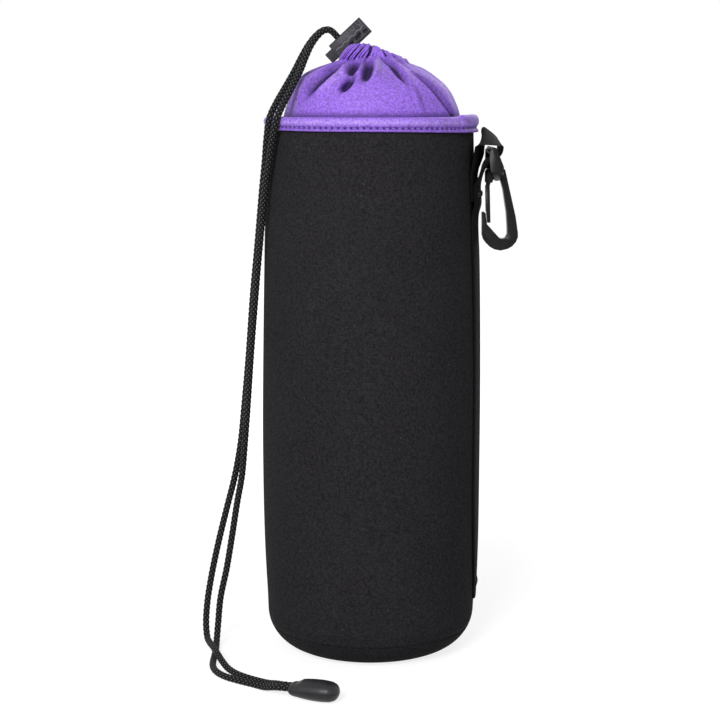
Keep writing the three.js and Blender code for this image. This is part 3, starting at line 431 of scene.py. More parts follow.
def copy_of_node(node_name, name):
    """A merged copy of a CAD node with its flat faces made whole."""
    piece = frame["nodes"][node_name].copy()
    piece.data = frame["nodes"][node_name].data.copy()
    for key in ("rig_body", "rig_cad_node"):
        if key in piece:
            del piece[key]
    piece.parent = None
    piece.matrix_world = Matrix.Identity(4)
    bpy.context.scene.collection.objects.link(piece)
    piece.name = name
    piece.data.materials.clear()
    edit(piece)
    bpy.ops.mesh.remove_doubles(threshold=0.005 * MM)
    bpy.ops.mesh.dissolve_limited(angle_limit=math.radians(1))
    bpy.ops.mesh.normals_make_consistent(inside=False)
    leave_edit()
    return piece


def finish_piece(piece, name, body, look, replaced=()):
    piece.name = name
    piece.data.name = name
    piece.data.materials.clear()
    piece.data.materials.append(look)
    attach(piece, body)
    if replaced:
        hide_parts(*replaced)
    return piece


def new_piece(name, places, faces):
    """A piece from points in millimetres and lists of their numbers."""
    mesh = bpy.data.meshes.new(name)
    mesh.from_pydata((places * MM).tolist(), [], faces)
    piece = bpy.data.objects.new(name, mesh)
    bpy.context.scene.collection.objects.link(piece)
    return piece


def skin(name, rings, along=None, around=None, looped=False, capped=True):
    """Mesh through rings of equal count, in millimetres, with a UV in metres along and around."""
    count, sides, _ = rings.shape
    spans = count if looped else count - 1
    i = np.arange(spans)[:, None]
    j = np.arange(sides)[None, :]
    here = i * sides
    after = (i + 1) % count * sides
    beside = (j + 1) % sides
    faces = np.stack([here + j, here + beside, after + beside, after + j], -1).reshape(-1, 4)
    ends = [list(range(sides))[::-1], list(range((count - 1) * sides, count * sides))]
    if looped or not capped:
        ends = []
    piece = new_piece(name, rings.reshape(-1, 3), faces.tolist() + ends)
    if along is not None:
        layer = piece.data.uv_layers.new(name="UVMap")
        uv = np.zeros((len(piece.data.loops), 2))
        u, next_u = around[j + 0 * i], around[j + 1 + 0 * i]
        v, next_v = along[i + 0 * j], along[i + 1 + 0 * j]
        uv[: faces.size, 0] = np.stack([u, next_u, next_u, u], -1).reshape(-1)
        uv[: faces.size, 1] = np.stack([v, v, next_v, next_v], -1).reshape(-1)
        layer.data.foreach_set("uv", (uv * MM).ravel())
    face_outward(piece)
    shade_smooth(piece)
    return piece


def turned(name, profile, steps):
    """Draws a profile of [radius, height] point by point and spins it round the pouch's axis."""
    deselect()
    bpy.ops.mesh.primitive_plane_add(size=MM)
    piece = bpy.context.object
    bpy.ops.object.mode_set(mode="EDIT")
    bpy.ops.mesh.merge(type="CENTER")
    bpy.ops.transform.translate(value=(profile[0][0] * MM, 0, profile[0][1] * MM))
    for (r0, z0), (r1, z1) in zip(profile, profile[1:]):
        step = {"value": ((r1 - r0) * MM, 0, (z1 - z0) * MM)}
        bpy.ops.mesh.extrude_vertices_move(TRANSFORM_OT_translate=step)
    bpy.ops.mesh.select_all(action="SELECT")
    bpy.ops.mesh.spin(steps=steps, angle=2 * math.pi, center=(0, 0, 0), axis=(0, 0, 1))
    bpy.ops.mesh.select_all(action="SELECT")
    bpy.ops.mesh.remove_doubles(threshold=0.01 * MM)
    bpy.ops.mesh.normals_make_consistent(inside=False)
    leave_edit()
    piece.name = name
    shade_smooth(piece)
    return piece


def wrap_uv(piece, radius):
    """Wraps a UV in metres round the pouch: distance round it, and height."""
    mesh = piece.data
    layer = mesh.uv_layers.get("UVMap") or mesh.uv_layers.new(name="UVMap")
    place = points_of(piece)
    corner = np.empty(len(mesh.loops), int)
    mesh.loops.foreach_get("vertex_index", corner)
    total = np.empty(len(mesh.polygons), int)
    mesh.polygons.foreach_get("loop_total", total)
    face = np.repeat(np.arange(len(total)), total)
    x, y = place[corner, 0], place[corner, 1]
    middle = np.arctan2(np.bincount(face, y), np.bincount(face, x))[face]
    turn = (np.arctan2(y, x) - middle + math.pi) % (2 * math.pi) - math.pi
    uv = np.stack([(middle + turn) * radius, place[corner, 2]], -1) * MM
    layer.data.foreach_set("uv", uv.ravel())


def smooth_rows(rows, t):
    """Values of a table at t, on a smooth curve through its rows."""
    table = np.array(rows, float)
    x = table[:, 0]
    y = table[:, 1:]
    slope = np.gradient(y, x, axis=0)
    k = np.clip(np.searchsorted(x, t, side="right") - 1, 0, len(x) - 2)
    h = (x[k + 1] - x[k])[:, None]
    s = ((t - x[k]) / (x[k + 1] - x[k]))[:, None]
    a = y[k] * (2 * s**3 - 3 * s**2 + 1) + slope[k] * h * (s**3 - 2 * s**2 + s)
    return a + y[k + 1] * (3 * s**2 - 2 * s**3) + slope[k + 1] * h * (s**3 - s**2)


def distance_along(path):
    """Distance from the start of a path to each of its points."""
    steps = np.linalg.norm(np.diff(path, axis=0), axis=1)
    return np.concatenate([[0], np.cumsum(steps)])


def between(t, start, stop, first, second):
    """The point at t on the line that is at first for t = start and at second for t = stop."""
    return (stop - t) / (stop - start) * first + (t - start) / (stop - start) * second


def curve_through(points, spacing):
    """Points at an even spacing on a centripetal curve through the given ones."""
    p = np.array(points, float)
    p = np.vstack([2 * p[0] - p[1], p, 2 * p[-1] - p[-2]])
    found = []
    for i in range(1, len(p) - 2):
        knots = np.cumsum([0] + [np.linalg.norm(p[i + k] - p[i + k - 1]) ** 0.5 for k in range(3)])
        t = np.linspace(knots[1], knots[2], 40, endpoint=False)[:, None]
        quad = p[i - 1 : i + 3]
        a = [between(t, knots[k], knots[k + 1], quad[k], quad[k + 1]) for k in range(3)]
        b = [between(t, knots[k], knots[k + 2], a[k], a[k + 1]) for k in range(2)]
        found.append(between(t, knots[1], knots[2], b[0], b[1]))
    dense = np.vstack([*found, p[-2]])
    reach = distance_along(dense)
    even = np.linspace(0, reach[-1], max(2, round(reach[-1] / spacing) + 1))
    return np.stack([np.interp(even, reach, dense[:, k]) for k in range(3)], -1)


def frames_along(path):
    """Unit tangents and two unit normals that turn as little as they can along a path."""
    tangent = np.gradient(path, axis=0)
    tangent /= np.linalg.norm(tangent, axis=1)[:, None]
    first = np.cross(tangent[0], (0.31, 0.52, 0.79))
    normal = [first / np.linalg.norm(first)]
    for direction in tangent[1:]:
        across = normal[-1] - direction * (normal[-1] @ direction)
        normal.append(across / np.linalg.norm(across))
    normal = np.array(normal)
    return tangent, normal, np.cross(tangent, normal)


def bell(x):
    """1 at 0, falling smoothly to 0 on both sides."""
    return np.exp(-(x**2))


def body_radius(z, inset=0.0):
    """Outside radius of the pouch at a height, moved in by an inset."""
    sizes = bpy.context.scene.lens_pouch
    radius, top = sizes.body_radius / MM, sizes.body_top / MM
    z = np.asarray(z, float)
    share = np.clip((z - BASE_CORNER) / (top - BASE_CORNER), 0, 1)
    above = smooth_rows(BODY_ROWS, np.atleast_1d(share))[:, 0].reshape(z.shape) * radius - inset
    centre = BODY_ROWS[0][1] * radius - BASE_CORNER
    rise = BASE_CORNER - np.minimum(z, BASE_CORNER)
    below = centre + np.sqrt(np.maximum(0, (BASE_CORNER - inset) ** 2 - rise**2))
    return np.where(z > BASE_CORNER, above, below)


def wall_at(levels, inset=0.0):
    """Points of the body's wall as [radius, height]."""
    return [(float(body_radius(z, inset)), z) for z in levels]


def settle(points):
    """Slack of the soft body: it leans a little near its foot and is not quite round."""
    x, y, z = points.T
    turn = np.arctan2(y, x)
    low = np.clip(1 - np.abs(z - LEAN_Z) / LEAN_REACH, 0, 1) ** 2
    middle = np.clip(np.sin(math.pi * np.clip((z - SWELL_FOOT) / SWELL_RISE, 0, 1)), 0, 1)
    oval = OVAL_SWELL * middle * np.sin(2 * turn + 0.6 + z / 70)
    swell = oval + TRIPLE_SWELL * middle * np.sin(3 * turn - z / 34)
    scale = 1 + swell / NOMINAL_R
    return np.stack([x * scale + LEAN * low, y * scale, z], -1)


# Nodes


def node(tree, kind, inputs=None, **settings):
    made = tree.nodes.new(kind)
    for key, value in settings.items():
        setattr(made, key, value)
    for key, value in (inputs or {}).items():
        if isinstance(value, bpy.types.NodeSocket):
            tree.links.new(value, made.inputs[key])
        else:
            made.inputs[key].default_value = value
    return made


def maths(tree, operation, *values, clamp=False):
    made = node(tree, "ShaderNodeMath", dict(enumerate(values)), operation=operation, use_clamp=clamp)
    return made.outputs[0]


def ramp(tree, value, low, high, start=0.0, end=1.0):
    """Smooth rise of a value from start to end as it passes from low to high."""
    made = node(
        tree, "ShaderNodeMapRange",
        {"Value": value, "From Min": low, "From Max": high, "To Min": start, "To Max": end},
        interpolation_type="SMOOTHSTEP",
    )
    return made.outputs["Result"]


def mixed(tree, factor, first, second):
    made = node(tree, "ShaderNodeMix", data_type="RGBA")
    for socket, value in ((made.inputs[0], factor), (made.inputs[6], first), (made.inputs[7], second)):
        if isinstance(value, bpy.types.NodeSocket):
            tree.links.new(value, socket)
        else:
            socket.default_value = (*value, 1) if hasattr(value, "__len__") and len(value) == 3 else value
    return made.outputs[2]


def new_group(name, inputs, outputs):
    """Shader node group with named sockets; returns the tree and its input sockets by name."""
    tree = bpy.data.node_groups.new(name, "ShaderNodeTree")
    for label, kind, value in inputs:
        socket = tree.interface.new_socket(label, in_out="INPUT", socket_type=kind)
        if value is not None:
            socket.default_value = value
    for label, kind in outputs:
        tree.interface.new_socket(label, in_out="OUTPUT", socket_type=kind)
    entry = tree.nodes.new("NodeGroupInput")
    return tree, entry.outputs


def close_group(tree, **outputs):
    leave = tree.nodes.new("NodeGroupOutput")
    for label, socket in outputs.items():
        tree.links.new(socket, leave.inputs[label])
    return tree


groups = {}


def place_group(tree, maker, inputs):
    """Places a node group in a tree; the group is made the first time that it is used."""
    if maker.__name__ not in groups:
        groups[maker.__name__] = maker()
    return node(tree, "ShaderNodeGroup", inputs, node_tree=groups[maker.__name__]).outputs


def noise(tree, vector, scale, detail=2.0, **others):
    inputs = {"Vector": vector, "Scale": scale, "Detail": detail, **others}
    return node(tree, "ShaderNodeTexNoise", inputs).outputs


def vertex_value(tree, name):
    return node(tree, "ShaderNodeAttribute", attribute_name=name, attribute_type="GEOMETRY").outputs["Fac"]


FLOAT = "NodeSocketFloat"
VECTOR = "NodeSocketVector"


def knit_group():
    """Fine knitted rows: slanted loops in columns, from a UV in metres."""
    tree, given = new_group(
        "fine_knit",
        [("UV", VECTOR, None), ("Stitch", FLOAT, 0.0006)],
        [("Height", FLOAT), ("Shade", FLOAT)],
    )
    split = node(tree, "ShaderNodeSeparateXYZ", {0: given["UV"]}).outputs
    u = maths(tree, "DIVIDE", split["X"], given["Stitch"])
    v = maths(tree, "DIVIDE", split["Y"], given["Stitch"])
    slant = maths(tree, "PINGPONG", u, 0.5)
    wave = maths(tree, "SINE", maths(tree, "MULTIPLY", maths(tree, "ADD", v, slant), 2 * math.pi))
    column = maths(tree, "ABSOLUTE", maths(tree, "COSINE", maths(tree, "MULTIPLY", u, math.pi)))
    loop = maths(tree, "MULTIPLY_ADD", wave, 0.35, 0.5)
    height = maths(tree, "MULTIPLY_ADD", column, 0.4, loop)
    return close_group(tree, Height=height, Shade=maths(tree, "MULTIPLY_ADD", height, 0.5, 0.2, clamp=True))


def mottle_group():
    """Uneven dye and fine grain: a value round 1 that multiplies a colour."""
    tree, given = new_group(
        "dye_mottle",
        [
            ("Vector", VECTOR, None), ("Cloud", FLOAT, 0.1), ("Grain", FLOAT, 0.1),
            ("Grain Scale", FLOAT, 1400.0),
        ],
        [("Value", FLOAT), ("Grain", FLOAT)],
    )
    cloud = noise(tree, given["Vector"], 32.0, 4.0)[0]
    grain = noise(tree, given["Vector"], given["Grain Scale"], Roughness=0.7)[0]
    broad = maths(tree, "MULTIPLY", maths(tree, "SUBTRACT", cloud, 0.5), given["Cloud"])
    fine = maths(tree, "MULTIPLY", maths(tree, "SUBTRACT", grain, 0.5), given["Grain"])
    total = maths(tree, "ADD", maths(tree, "ADD", broad, fine), 1.0)
    return close_group(tree, Value=total, Grain=grain)


def lint_group():
    """Scattered specks of lint and dust."""
    tree, given = new_group(
        "lint_specks",
        [
            ("Vector", VECTOR, None), ("Spacing", FLOAT, 0.004), ("Size", FLOAT, 0.06),
            ("Share", FLOAT, 0.3),
        ],
        [("Mask", FLOAT)],
    )
    scale = maths(tree, "DIVIDE", 1.0, given["Spacing"])
    bend = {0: noise(tree, given["Vector"], 700.0)["Color"], 1: (0.0012, 0.0012, 0.0012)}
    shift = node(tree, "ShaderNodeVectorMath", bend, operation="MULTIPLY").outputs[0]
    place = node(tree, "ShaderNodeVectorMath", {0: given["Vector"], 1: shift}, operation="ADD").outputs[0]
    cells = node(tree, "ShaderNodeTexVoronoi", {"Vector": place, "Scale": scale, "Randomness": 1.0})
    chance = node(tree, "ShaderNodeSeparateColor", {0: cells.outputs["Color"]}).outputs[0]
    chosen = maths(tree, "LESS_THAN", chance, given["Share"])
    near = maths(tree, "LESS_THAN", cells.outputs["Distance"], given["Size"])
    return close_group(tree, Mask=maths(tree, "MULTIPLY", chosen, near))


def braid_group():
    """Diagonal strands of a round braid and the glints on their crowns, from a UV in metres."""
    tree, given = new_group(
        "cord_braid",
        [("UV", VECTOR, None), ("Across", FLOAT, 0.0019), ("Along", FLOAT, 0.0023)],
        [("Height", FLOAT), ("Glint", FLOAT)],
    )
    split = node(tree, "ShaderNodeSeparateXYZ", {0: given["UV"]}).outputs
    a = maths(tree, "DIVIDE", split["X"], given["Across"])
    b = maths(tree, "DIVIDE", split["Y"], given["Along"])
    left = maths(tree, "COSINE", maths(tree, "MULTIPLY", maths(tree, "ADD", a, b), math.pi))
    right = maths(tree, "COSINE", maths(tree, "MULTIPLY", maths(tree, "SUBTRACT", a, b), math.pi))
    crown = maths(tree, "ABSOLUTE", maths(tree, "MULTIPLY", left, right))
    height = maths(tree, "MULTIPLY_ADD", noise(tree, given["UV"], 2600.0)[0], 0.35, crown)
    return close_group(tree, Height=height, Glint=ramp(tree, crown, 0.62, 0.98))


def webbing_group():
    """Woven ribs of a flat webbing: rows of picks that step between lengthwise cords."""
    tree, given = new_group(
        "webbing_weave",
        [("UV", VECTOR, None), ("Cord", FLOAT, 0.0012), ("Pick", FLOAT, 0.0011)],
        [("Height", FLOAT)],
    )
    split = node(tree, "ShaderNodeSeparateXYZ", {0: given["UV"]}).outputs
    a = maths(tree, "DIVIDE", split["X"], given["Cord"])
    b = maths(tree, "DIVIDE", split["Y"], given["Pick"])
    step = maths(tree, "MULTIPLY", maths(tree, "MODULO", maths(tree, "FLOOR", a), 2.0), 0.5)
    across = maths(tree, "ABSOLUTE", maths(tree, "SINE", maths(tree, "MULTIPLY", a, math.pi)))
    pick = maths(tree, "MULTIPLY", maths(tree, "ADD", b, step), math.pi)
    along = maths(tree, "ABSOLUTE", maths(tree, "SINE", pick))
    return close_group(tree, Height=maths(tree, "MULTIPLY", across, along))


def moulding_group():
    """Fine texture, scuffs and dust of a moulded plastic."""
    tree, given = new_group(
        "moulded_surface",
        [("Vector", VECTOR, None), ("Grain Scale", FLOAT, 2200.0), ("Scuff", FLOAT, 0.3)],
        [("Height", FLOAT), ("Scuffs", FLOAT), ("Dust", FLOAT)],
    )
    grain = noise(tree, given["Vector"], given["Grain Scale"], 3.0)[0]
    long = node(tree, "ShaderNodeMapping", {"Vector": given["Vector"], "Scale": (900.0, 260.0, 380.0)})
    streak = noise(tree, long.outputs[0], 1.0, 5.0, Distortion=0.6)[0]
    cloud = noise(tree, given["Vector"], 150.0, 3.0)[0]
    scuffs = maths(tree, "MULTIPLY", ramp(tree, streak, 0.56, 0.75), given["Scuff"])
    return close_group(tree, Height=grain, Scuffs=scuffs, Dust=ramp(tree, cloud, 0.45, 0.75))


def new_material(name):
    made = bpy.data.materials.new(name)
    made.use_nodes = True
    tree = made.node_tree
    shader = tree.nodes["Principled BSDF"]
    where = node(tree, "ShaderNodeTexCoord")
    return made, tree, shader, where.outputs["Object"], where.outputs["UV"]


def set_shader(shader, **values):
    for key, value in values.items():
        shader.inputs[key.replace("_", " ").title().replace("Ior", "IOR")].default_value = value


def set_surface(tree, shader, colour, roughness):
    tree.links.new(colour, shader.inputs["Base Color"])
    tree.links.new(roughness, shader.inputs["Roughness"])


def bump(tree, shader, height, distance, strength=1.0):
    made = node(tree, "ShaderNodeBump", {"Height": height, "Distance": distance, "Strength": strength})
    tree.links.new(made.outputs[0], shader.inputs["Normal"])


def tinted(tree, value, colour):
    """A colour whose brightness follows a value."""
    made = node(tree, "ShaderNodeVectorMath", {0: tuple(colour)}, operation="SCALE")
    tree.links.new(value, made.inputs["Scale"])
    return made.outputs[0]


def shade_of(colour, factor, lift=0.0):
    return tuple(factor * c + lift for c in colour)


def dye_mottle(tree, place, cloud, grain, grain_scale):
    inputs = {"Vector": place, "Cloud": cloud, "Grain": grain, "Grain Scale": grain_scale}
    return place_group(tree, mottle_group, inputs)


def lint(tree, place, spacing, size, share):
    inputs = {"Vector": place, "Spacing": spacing, "Size": size, "Share": share}
    return place_group(tree, lint_group, inputs)["Mask"]


materials = {}


def material(maker, *values):
    key = (maker.__name__, *values)
    if key not in materials:
        materials[key] = maker(*values)
    return materials[key]


def neoprene_finish():
    made, tree, shader, place, uv = new_material("neoprene_face")
    colour = bpy.context.scene.lens_pouch_finish.neoprene
    knit = place_group(tree, knit_group, {"UV": uv, "Stitch": 0.00075})
    dye = dye_mottle(tree, place, 0.35, 2.2, 900.0)
    specks = lint(tree, place, 0.0042, 0.055, 0.5)
    shade = maths(tree, "MULTIPLY", dye["Value"], maths(tree, "ADD", knit["Shade"], 0.45))
    speckled = maths(tree, "MULTIPLY", specks, 0.35)
    base = mixed(tree, speckled, tinted(tree, shade, colour), (0.2, 0.2, 0.21))
    set_surface(tree, shader, base, maths(tree, "MULTIPLY_ADD", dye["Grain"], 0.15, 0.72))
    set_shader(shader, sheen_weight=0.01, sheen_roughness=0.5, specular_ior_level=0.02)
    bump(tree, shader, maths(tree, "MULTIPLY_ADD", dye["Grain"], 0.8, knit["Height"]), 0.00018, 0.8)
    return made


def satin_knit_finish():
    """Satin knit, mixed towards a painted highlight where the attribute fold is negative, on ridges, and
    towards a painted shade where it is positive, in hollows.
    """
    made, tree, shader, place, uv = new_material("satin_knit")
    finish = bpy.context.scene.lens_pouch_finish
    knit = place_group(tree, knit_group, {"UV": uv, "Stitch": 0.0005})
    dye = dye_mottle(tree, place, 0.2, 2.0, 1000.0)
    fold = vertex_value(tree, "fold")
    shade = maths(tree, "MULTIPLY", dye["Value"], maths(tree, "ADD", knit["Shade"], 0.45))
    # Painted highlight on ridges
    raised = maths(tree, "MULTIPLY", fold, -1.0, clamp=True)
    base = mixed(tree, raised, tinted(tree, shade, finish.knit), tinted(tree, shade, finish.knit_ridge_highlight))
    # Painted shade in hollows
    hollow = maths(tree, "MULTIPLY", fold, 1.4, clamp=True)
    base = mixed(tree, hollow, base, tinted(tree, shade, finish.knit_fold_shade))
    set_surface(tree, shader, base, maths(tree, "MULTIPLY_ADD", dye["Grain"], 0.25, 0.36))
    set_shader(shader, sheen_weight=0.1, sheen_roughness=0.35, specular_ior_level=0.2)
    set_shader(shader, sheen_tint=(0.8, 0.7, 1, 1))
    bump(tree, shader, maths(tree, "MULTIPLY_ADD", dye["Grain"], 0.9, knit["Height"]), 0.00012, 0.7)
    return made


def thread_finish(name, colour):
    made, tree, shader, place, _ = new_material(name)
    wave = {"Vector": place, "Scale": 900.0, "Distortion": 3.0, "Detail": 1.0}
    twist = node(tree, "ShaderNodeTexWave", wave).outputs["Fac"]
    base = tinted(tree, maths(tree, "MULTIPLY_ADD", twist, 0.35, 0.8), colour)
    set_surface(tree, shader, base, maths(tree, "MULTIPLY_ADD", twist, 0.2, 0.4))
    set_shader(shader, sheen_weight=0.05, specular_ior_level=0.15)
    bump(tree, shader, twist, 0.00006, 0.6)
    return made


def cord_finish():
    made, tree, shader, place, uv = new_material("braided_cord")
    colour = bpy.context.scene.lens_pouch_finish.cord
    braid = place_group(tree, braid_group, {"UV": uv})
    dye = dye_mottle(tree, place, 0.3, 0.6, 1500.0)
    glint = maths(tree, "MULTIPLY", braid["Glint"], maths(tree, "MULTIPLY", dye["Value"], 0.5))
    base = mixed(tree, glint, tinted(tree, dye["Value"], colour), (0.24, 0.24, 0.25))
    set_surface(tree, shader, base, maths(tree, "MULTIPLY_ADD", braid["Glint"], -0.25, 0.68))
    set_shader(shader, sheen_weight=0.02, specular_ior_level=0.08)
    bump(tree, shader, braid["Height"], 0.00022, 0.9)
    return made


def webbing_finish():
    made, tree, shader, place, uv = new_material("black_webbing")
    colour = bpy.context.scene.lens_pouch_finish.webbing
    weave = place_group(tree, webbing_group, {"UV": uv})
    dye = dye_mottle(tree, place, 0.4, 0.5, 1300.0)
    specks = lint(tree, place, 0.005, 0.05, 0.4)
    value = maths(tree, "MULTIPLY", dye["Value"], maths(tree, "MULTIPLY_ADD", weave["Height"], 1.3, 0.4))
    speckled = maths(tree, "MULTIPLY", specks, 0.3)
    base = mixed(tree, speckled, tinted(tree, value, colour), (0.1, 0.1, 0.105))
    set_surface(tree, shader, base, maths(tree, "MULTIPLY_ADD", weave["Height"], -0.15, 0.72))
    set_shader(shader, sheen_weight=0.01, specular_ior_level=0.02)
    bump(tree, shader, maths(tree, "MULTIPLY_ADD", dye["Grain"], 0.25, weave["Height"]), 0.00022, 0.8)
    return made


def plastic_finish(name, colour, roughness, grain, scuff, coat, shine):
    """Moulded plastic; where its vertex attribute is positive the colour is lightened as a painted
    highlight, and where it is negative, in a groove, darkened as painted shade.
    """
    made, tree, shader, place, _ = new_material(name)
    surface = place_group(tree, moulding_group, {"Vector": place, "Scuff": scuff})
    dusty = maths(tree, "MULTIPLY", surface["Dust"], 0.25)
    base = mixed(tree, dusty, tuple(colour), shade_of(colour, 1.7, 0.004))
    base = mixed(tree, surface["Scuffs"], base, shade_of(colour, 2.0, 0.008))
    wear = vertex_value(tree, "wear")
    # Painted highlight: lighter where the attribute is positive
    highlight_share = maths(tree, "MULTIPLY", wear, 1.0, clamp=True)
    base = mixed(tree, highlight_share, base, shade_of(colour, 2.4, 0.03))
    # Painted shade: darker where the attribute is negative
    groove = maths(tree, "MULTIPLY", wear, -1.0, clamp=True)
    base = mixed(tree, groove, base, shade_of(colour, 0.15))
    rough = maths(tree, "MULTIPLY_ADD", surface["Dust"], 0.12, roughness)
    set_surface(tree, shader, base, maths(tree, "MULTIPLY_ADD", surface["Scuffs"], 0.25, rough))
    set_shader(shader, coat_weight=coat, coat_roughness=0.12, specular_ior_level=shine)
    bump(tree, shader, surface["Height"], grain, 0.6)
    return made


def foam_finish(name, colour):
    made, tree, shader, place, _ = new_material(name)
    cells = node(tree, "ShaderNodeTexVoronoi", {"Vector": place, "Scale": 1600.0}).outputs["Distance"]
    base = tinted(tree, maths(tree, "MULTIPLY_ADD", cells, 0.6, 0.7), colour)
    set_surface(tree, shader, base, ramp(tree, cells, 0.0, 1.0, 0.8, 0.95))
    bump(tree, shader, cells, 0.0003, 0.8)
    return made


def steel_finish():
    made, tree, shader, place, _ = new_material("spring_steel")
    long = node(tree, "ShaderNodeMapping", {"Vector": place, "Scale": (4000.0, 4000.0, 300.0)})
    brushed = noise(tree, long.outputs[0], 1.0, 3.0)[0]
    base = mixed(tree, brushed, (0.42, 0.42, 0.43), (0.62, 0.62, 0.63))
    set_surface(tree, shader, base, maths(tree, "MULTIPLY_ADD", brushed, 0.2, 0.24))
    set_shader(shader, metallic=1.0)
    bump(tree, shader, brushed, 0.00002, 0.4)
    return made


# Settings


def length_property(name, description, millimetres):
    return bpy.props.FloatProperty(
        name=name, description=description, default=millimetres * MM, unit="LENGTH", subtype="DISTANCE",
    )


def power_property(name, description, watts):
    return bpy.props.FloatProperty(name=name, description=description, default=watts, subtype="POWER")


def colour_property(name, description, colour):
    return bpy.props.FloatVectorProperty(
        name=name, description=description, default=colour, subtype="COLOR", size=3, min=0, max=1,
    )


class LensPouchSizes(bpy.types.PropertyGroup):
    body_radius: length_property("Body radius", "Outside radius of the padded body", 50)
    body_top: length_property("Body height", "Height of the neoprene tube above the floor", 247.6)
    binding_thickness: length_property("Binding thickness", "Thickness of the strip over the rim", 1)
    cord_diameter: length_property("Cord diameter", "Diameter of the braided cord", 3)
    strand_pitch: length_property("Strand pitch", "Distance between the two strands in the lock", 3.4)
    strap_width: length_property("Strap width", "Width of the side strap", 25)
    strap_thickness: length_property("Strap thickness", "Thickness of the webbing", 1.25)
    stitch_length: length_property("Stitch length", "Length of one stitch of the seams", 2.1)
    pleats: bpy.props.IntProperty(
        name="Pleats", description="Number of small pleats in the casing", default=25, min=8, max=60,
    )


class LensPouchFinish(bpy.types.PropertyGroup):
    neoprene: colour_property("Neoprene", "Colour of the laminated neoprene", (0.0225, 0.0212, 0.0235))
    knit: colour_property("Knit", "Colour of the satin knit", (0.305, 0.15, 0.71))
    # Painted shade: the knit's colour deep in a fold, mixed in where the attribute fold is positive
    knit_fold_shade: colour_property("Painted fold shade", "Colour of the knit deep in a fold", (0.02, 0.004, 0.075))
    # Painted highlight: the knit's colour over a ridge, mixed in where the attribute fold is negative
    knit_ridge_highlight: colour_property("Painted ridge highlight", "Colour of the knit over a ridge", (0.55, 0.38, 0.96))
    cord: colour_property("Cord", "Colour of the braided cord", (0.0065, 0.0065, 0.007))
    webbing: colour_property("Webbing", "Colour of the side strap", (0.0095, 0.0095, 0.01))
    lock: colour_property("Cord lock", "Colour of the cord lock", (0.044, 0.042, 0.049))
    cord_end: colour_property("Cord end", "Colour of the cord end", (0.015, 0.0145, 0.017))
    clip: colour_property("Snap hook", "Colour of the snap hook", (0.008, 0.0078, 0.0088))


class LensPouchStage(bpy.types.PropertyGroup):
    lens: bpy.props.FloatProperty(
        name="Lens", description="Focal length of the camera", default=86.4, unit="CAMERA",
    )
    pitch: bpy.props.FloatProperty(
        name="Pitch", description="How far the camera looks down", default=math.radians(8.45),
        unit="ROTATION", subtype="ANGLE",
    )
    key_power: power_property("Key light", "Power of the main soft light", 15.5)
    fill_power: power_property("Fill light", "Power of the weaker light on the right", 0.5)
    back_power: power_property("Back light", "Power of the soft light behind the pouch", 4.0)
    ambient: bpy.props.FloatProperty(
        name="Ambient", description="Strength of the even light from all round", default=0.28, min=0,
    )


# Shared forms


def tube_rings(path, radii, sides, relief=None):
    """Rings of a tube along a path, with an optional relief from angle and distance along."""
    _, normal, binormal = frames_along(path)
    reach = distance_along(path)
    angle = np.arange(sides) * 2 * math.pi / sides
    radius = np.broadcast_to(np.asarray(radii, float).reshape(-1, 1), (len(path), 1)) + 0 * angle
    if relief is not None:
        radius = radius + relief(angle[None, :], reach[:, None])
    c, s = np.cos(angle)[None, :, None], np.sin(angle)[None, :, None]
    ring = normal[:, None] * c + binormal[:, None] * s
    return path[:, None] + ring * radius[..., None], reach


def braid_relief(angle, reach):
    """Crowns of the diagonal strands of a round braid."""
    a = BRAID_STRANDS * angle / (2 * math.pi)
    b = reach / BRAID_ALONG
    crown = np.abs(np.cos(math.pi * (a + b)) * np.cos(math.pi * (a - b)))
    return BRAID_DEPTH * (crown - 0.5)


def braided(name, path, diameter, spacing=0.38, sides=20):
    line = curve_through(path, spacing)
    rings, reach = tube_rings(line, diameter / 2, sides, braid_relief)
    around = np.linspace(0, BRAID_STRANDS * BRAID_ACROSS, sides + 1)
    return skin(name, rings, reach, around), line


def capsule_template():
    """One stitch: a short rounded thread along X, a unit long and a unit thick."""
    deselect()
    bpy.ops.mesh.primitive_uv_sphere_add(segments=8, ring_count=6, radius=0.5)
    stitch = bpy.context.object
    edit(stitch)
    bpy.ops.transform.rotate(value=math.pi / 2, orient_axis="Y", center_override=(0, 0, 0))
    leave_edit()
    place = points_of(stitch) * MM
    place[:, 0] = np.sign(place[:, 0]) * np.abs(place[:, 0] * 2) ** 0.6 / 2
    faces = [list(polygon.vertices) for polygon in stitch.data.polygons]
    bpy.ops.object.delete()
    return place, faces


def stitch_row(name, places, directions, outward, length, thickness):
    """Copies of one stitch at places, along directions, lying on the cloth they stand out from."""
    template, faces = capsule_template()
    points, found = [], []
    for place, along, out in zip(places, directions, outward):
        along = along / np.linalg.norm(along)
        out = out - along * (out @ along)
        out = out / np.linalg.norm(out)
        across = np.cross(out, along)
        local = template * (length, thickness, thickness)
        sink = (np.abs(template[:, :1]) * 2) ** 2 * thickness * 0.5
        start = len(points) * len(template)
        lying = place + local[:, :1] * along + local[:, 1:2] * across
        points.append(lying + (local[:, 2:] - sink) * out)
        found += [[start + v for v in face] for face in faces]
    piece = new_piece(name, np.vstack(points), found)
    face_outward(piece)
    shade_smooth(piece)
    return piece


def ring_of_stitches(name, radius, height, length, gap, thickness):
    """A row of stitches round the pouch."""
    count = round(2 * math.pi * radius / (length + gap))
    turn = np.arange(count) * 2 * math.pi / count
    out = np.stack([np.cos(turn), np.sin(turn), 0 * turn], -1)
    along = np.stack([-np.sin(turn), np.cos(turn), 0 * turn], -1)
    places = out * radius
    places[:, 2] = height
    return stitch_row(name, settle(places), along, out, length, thickness)


# Operators


class PieceOperator:
    bl_options = {"REGISTER", "UNDO"}

    def execute(self, context):
        self.make(context.scene.lens_pouch, context.scene.lens_pouch_finish)
        return {"FINISHED"}


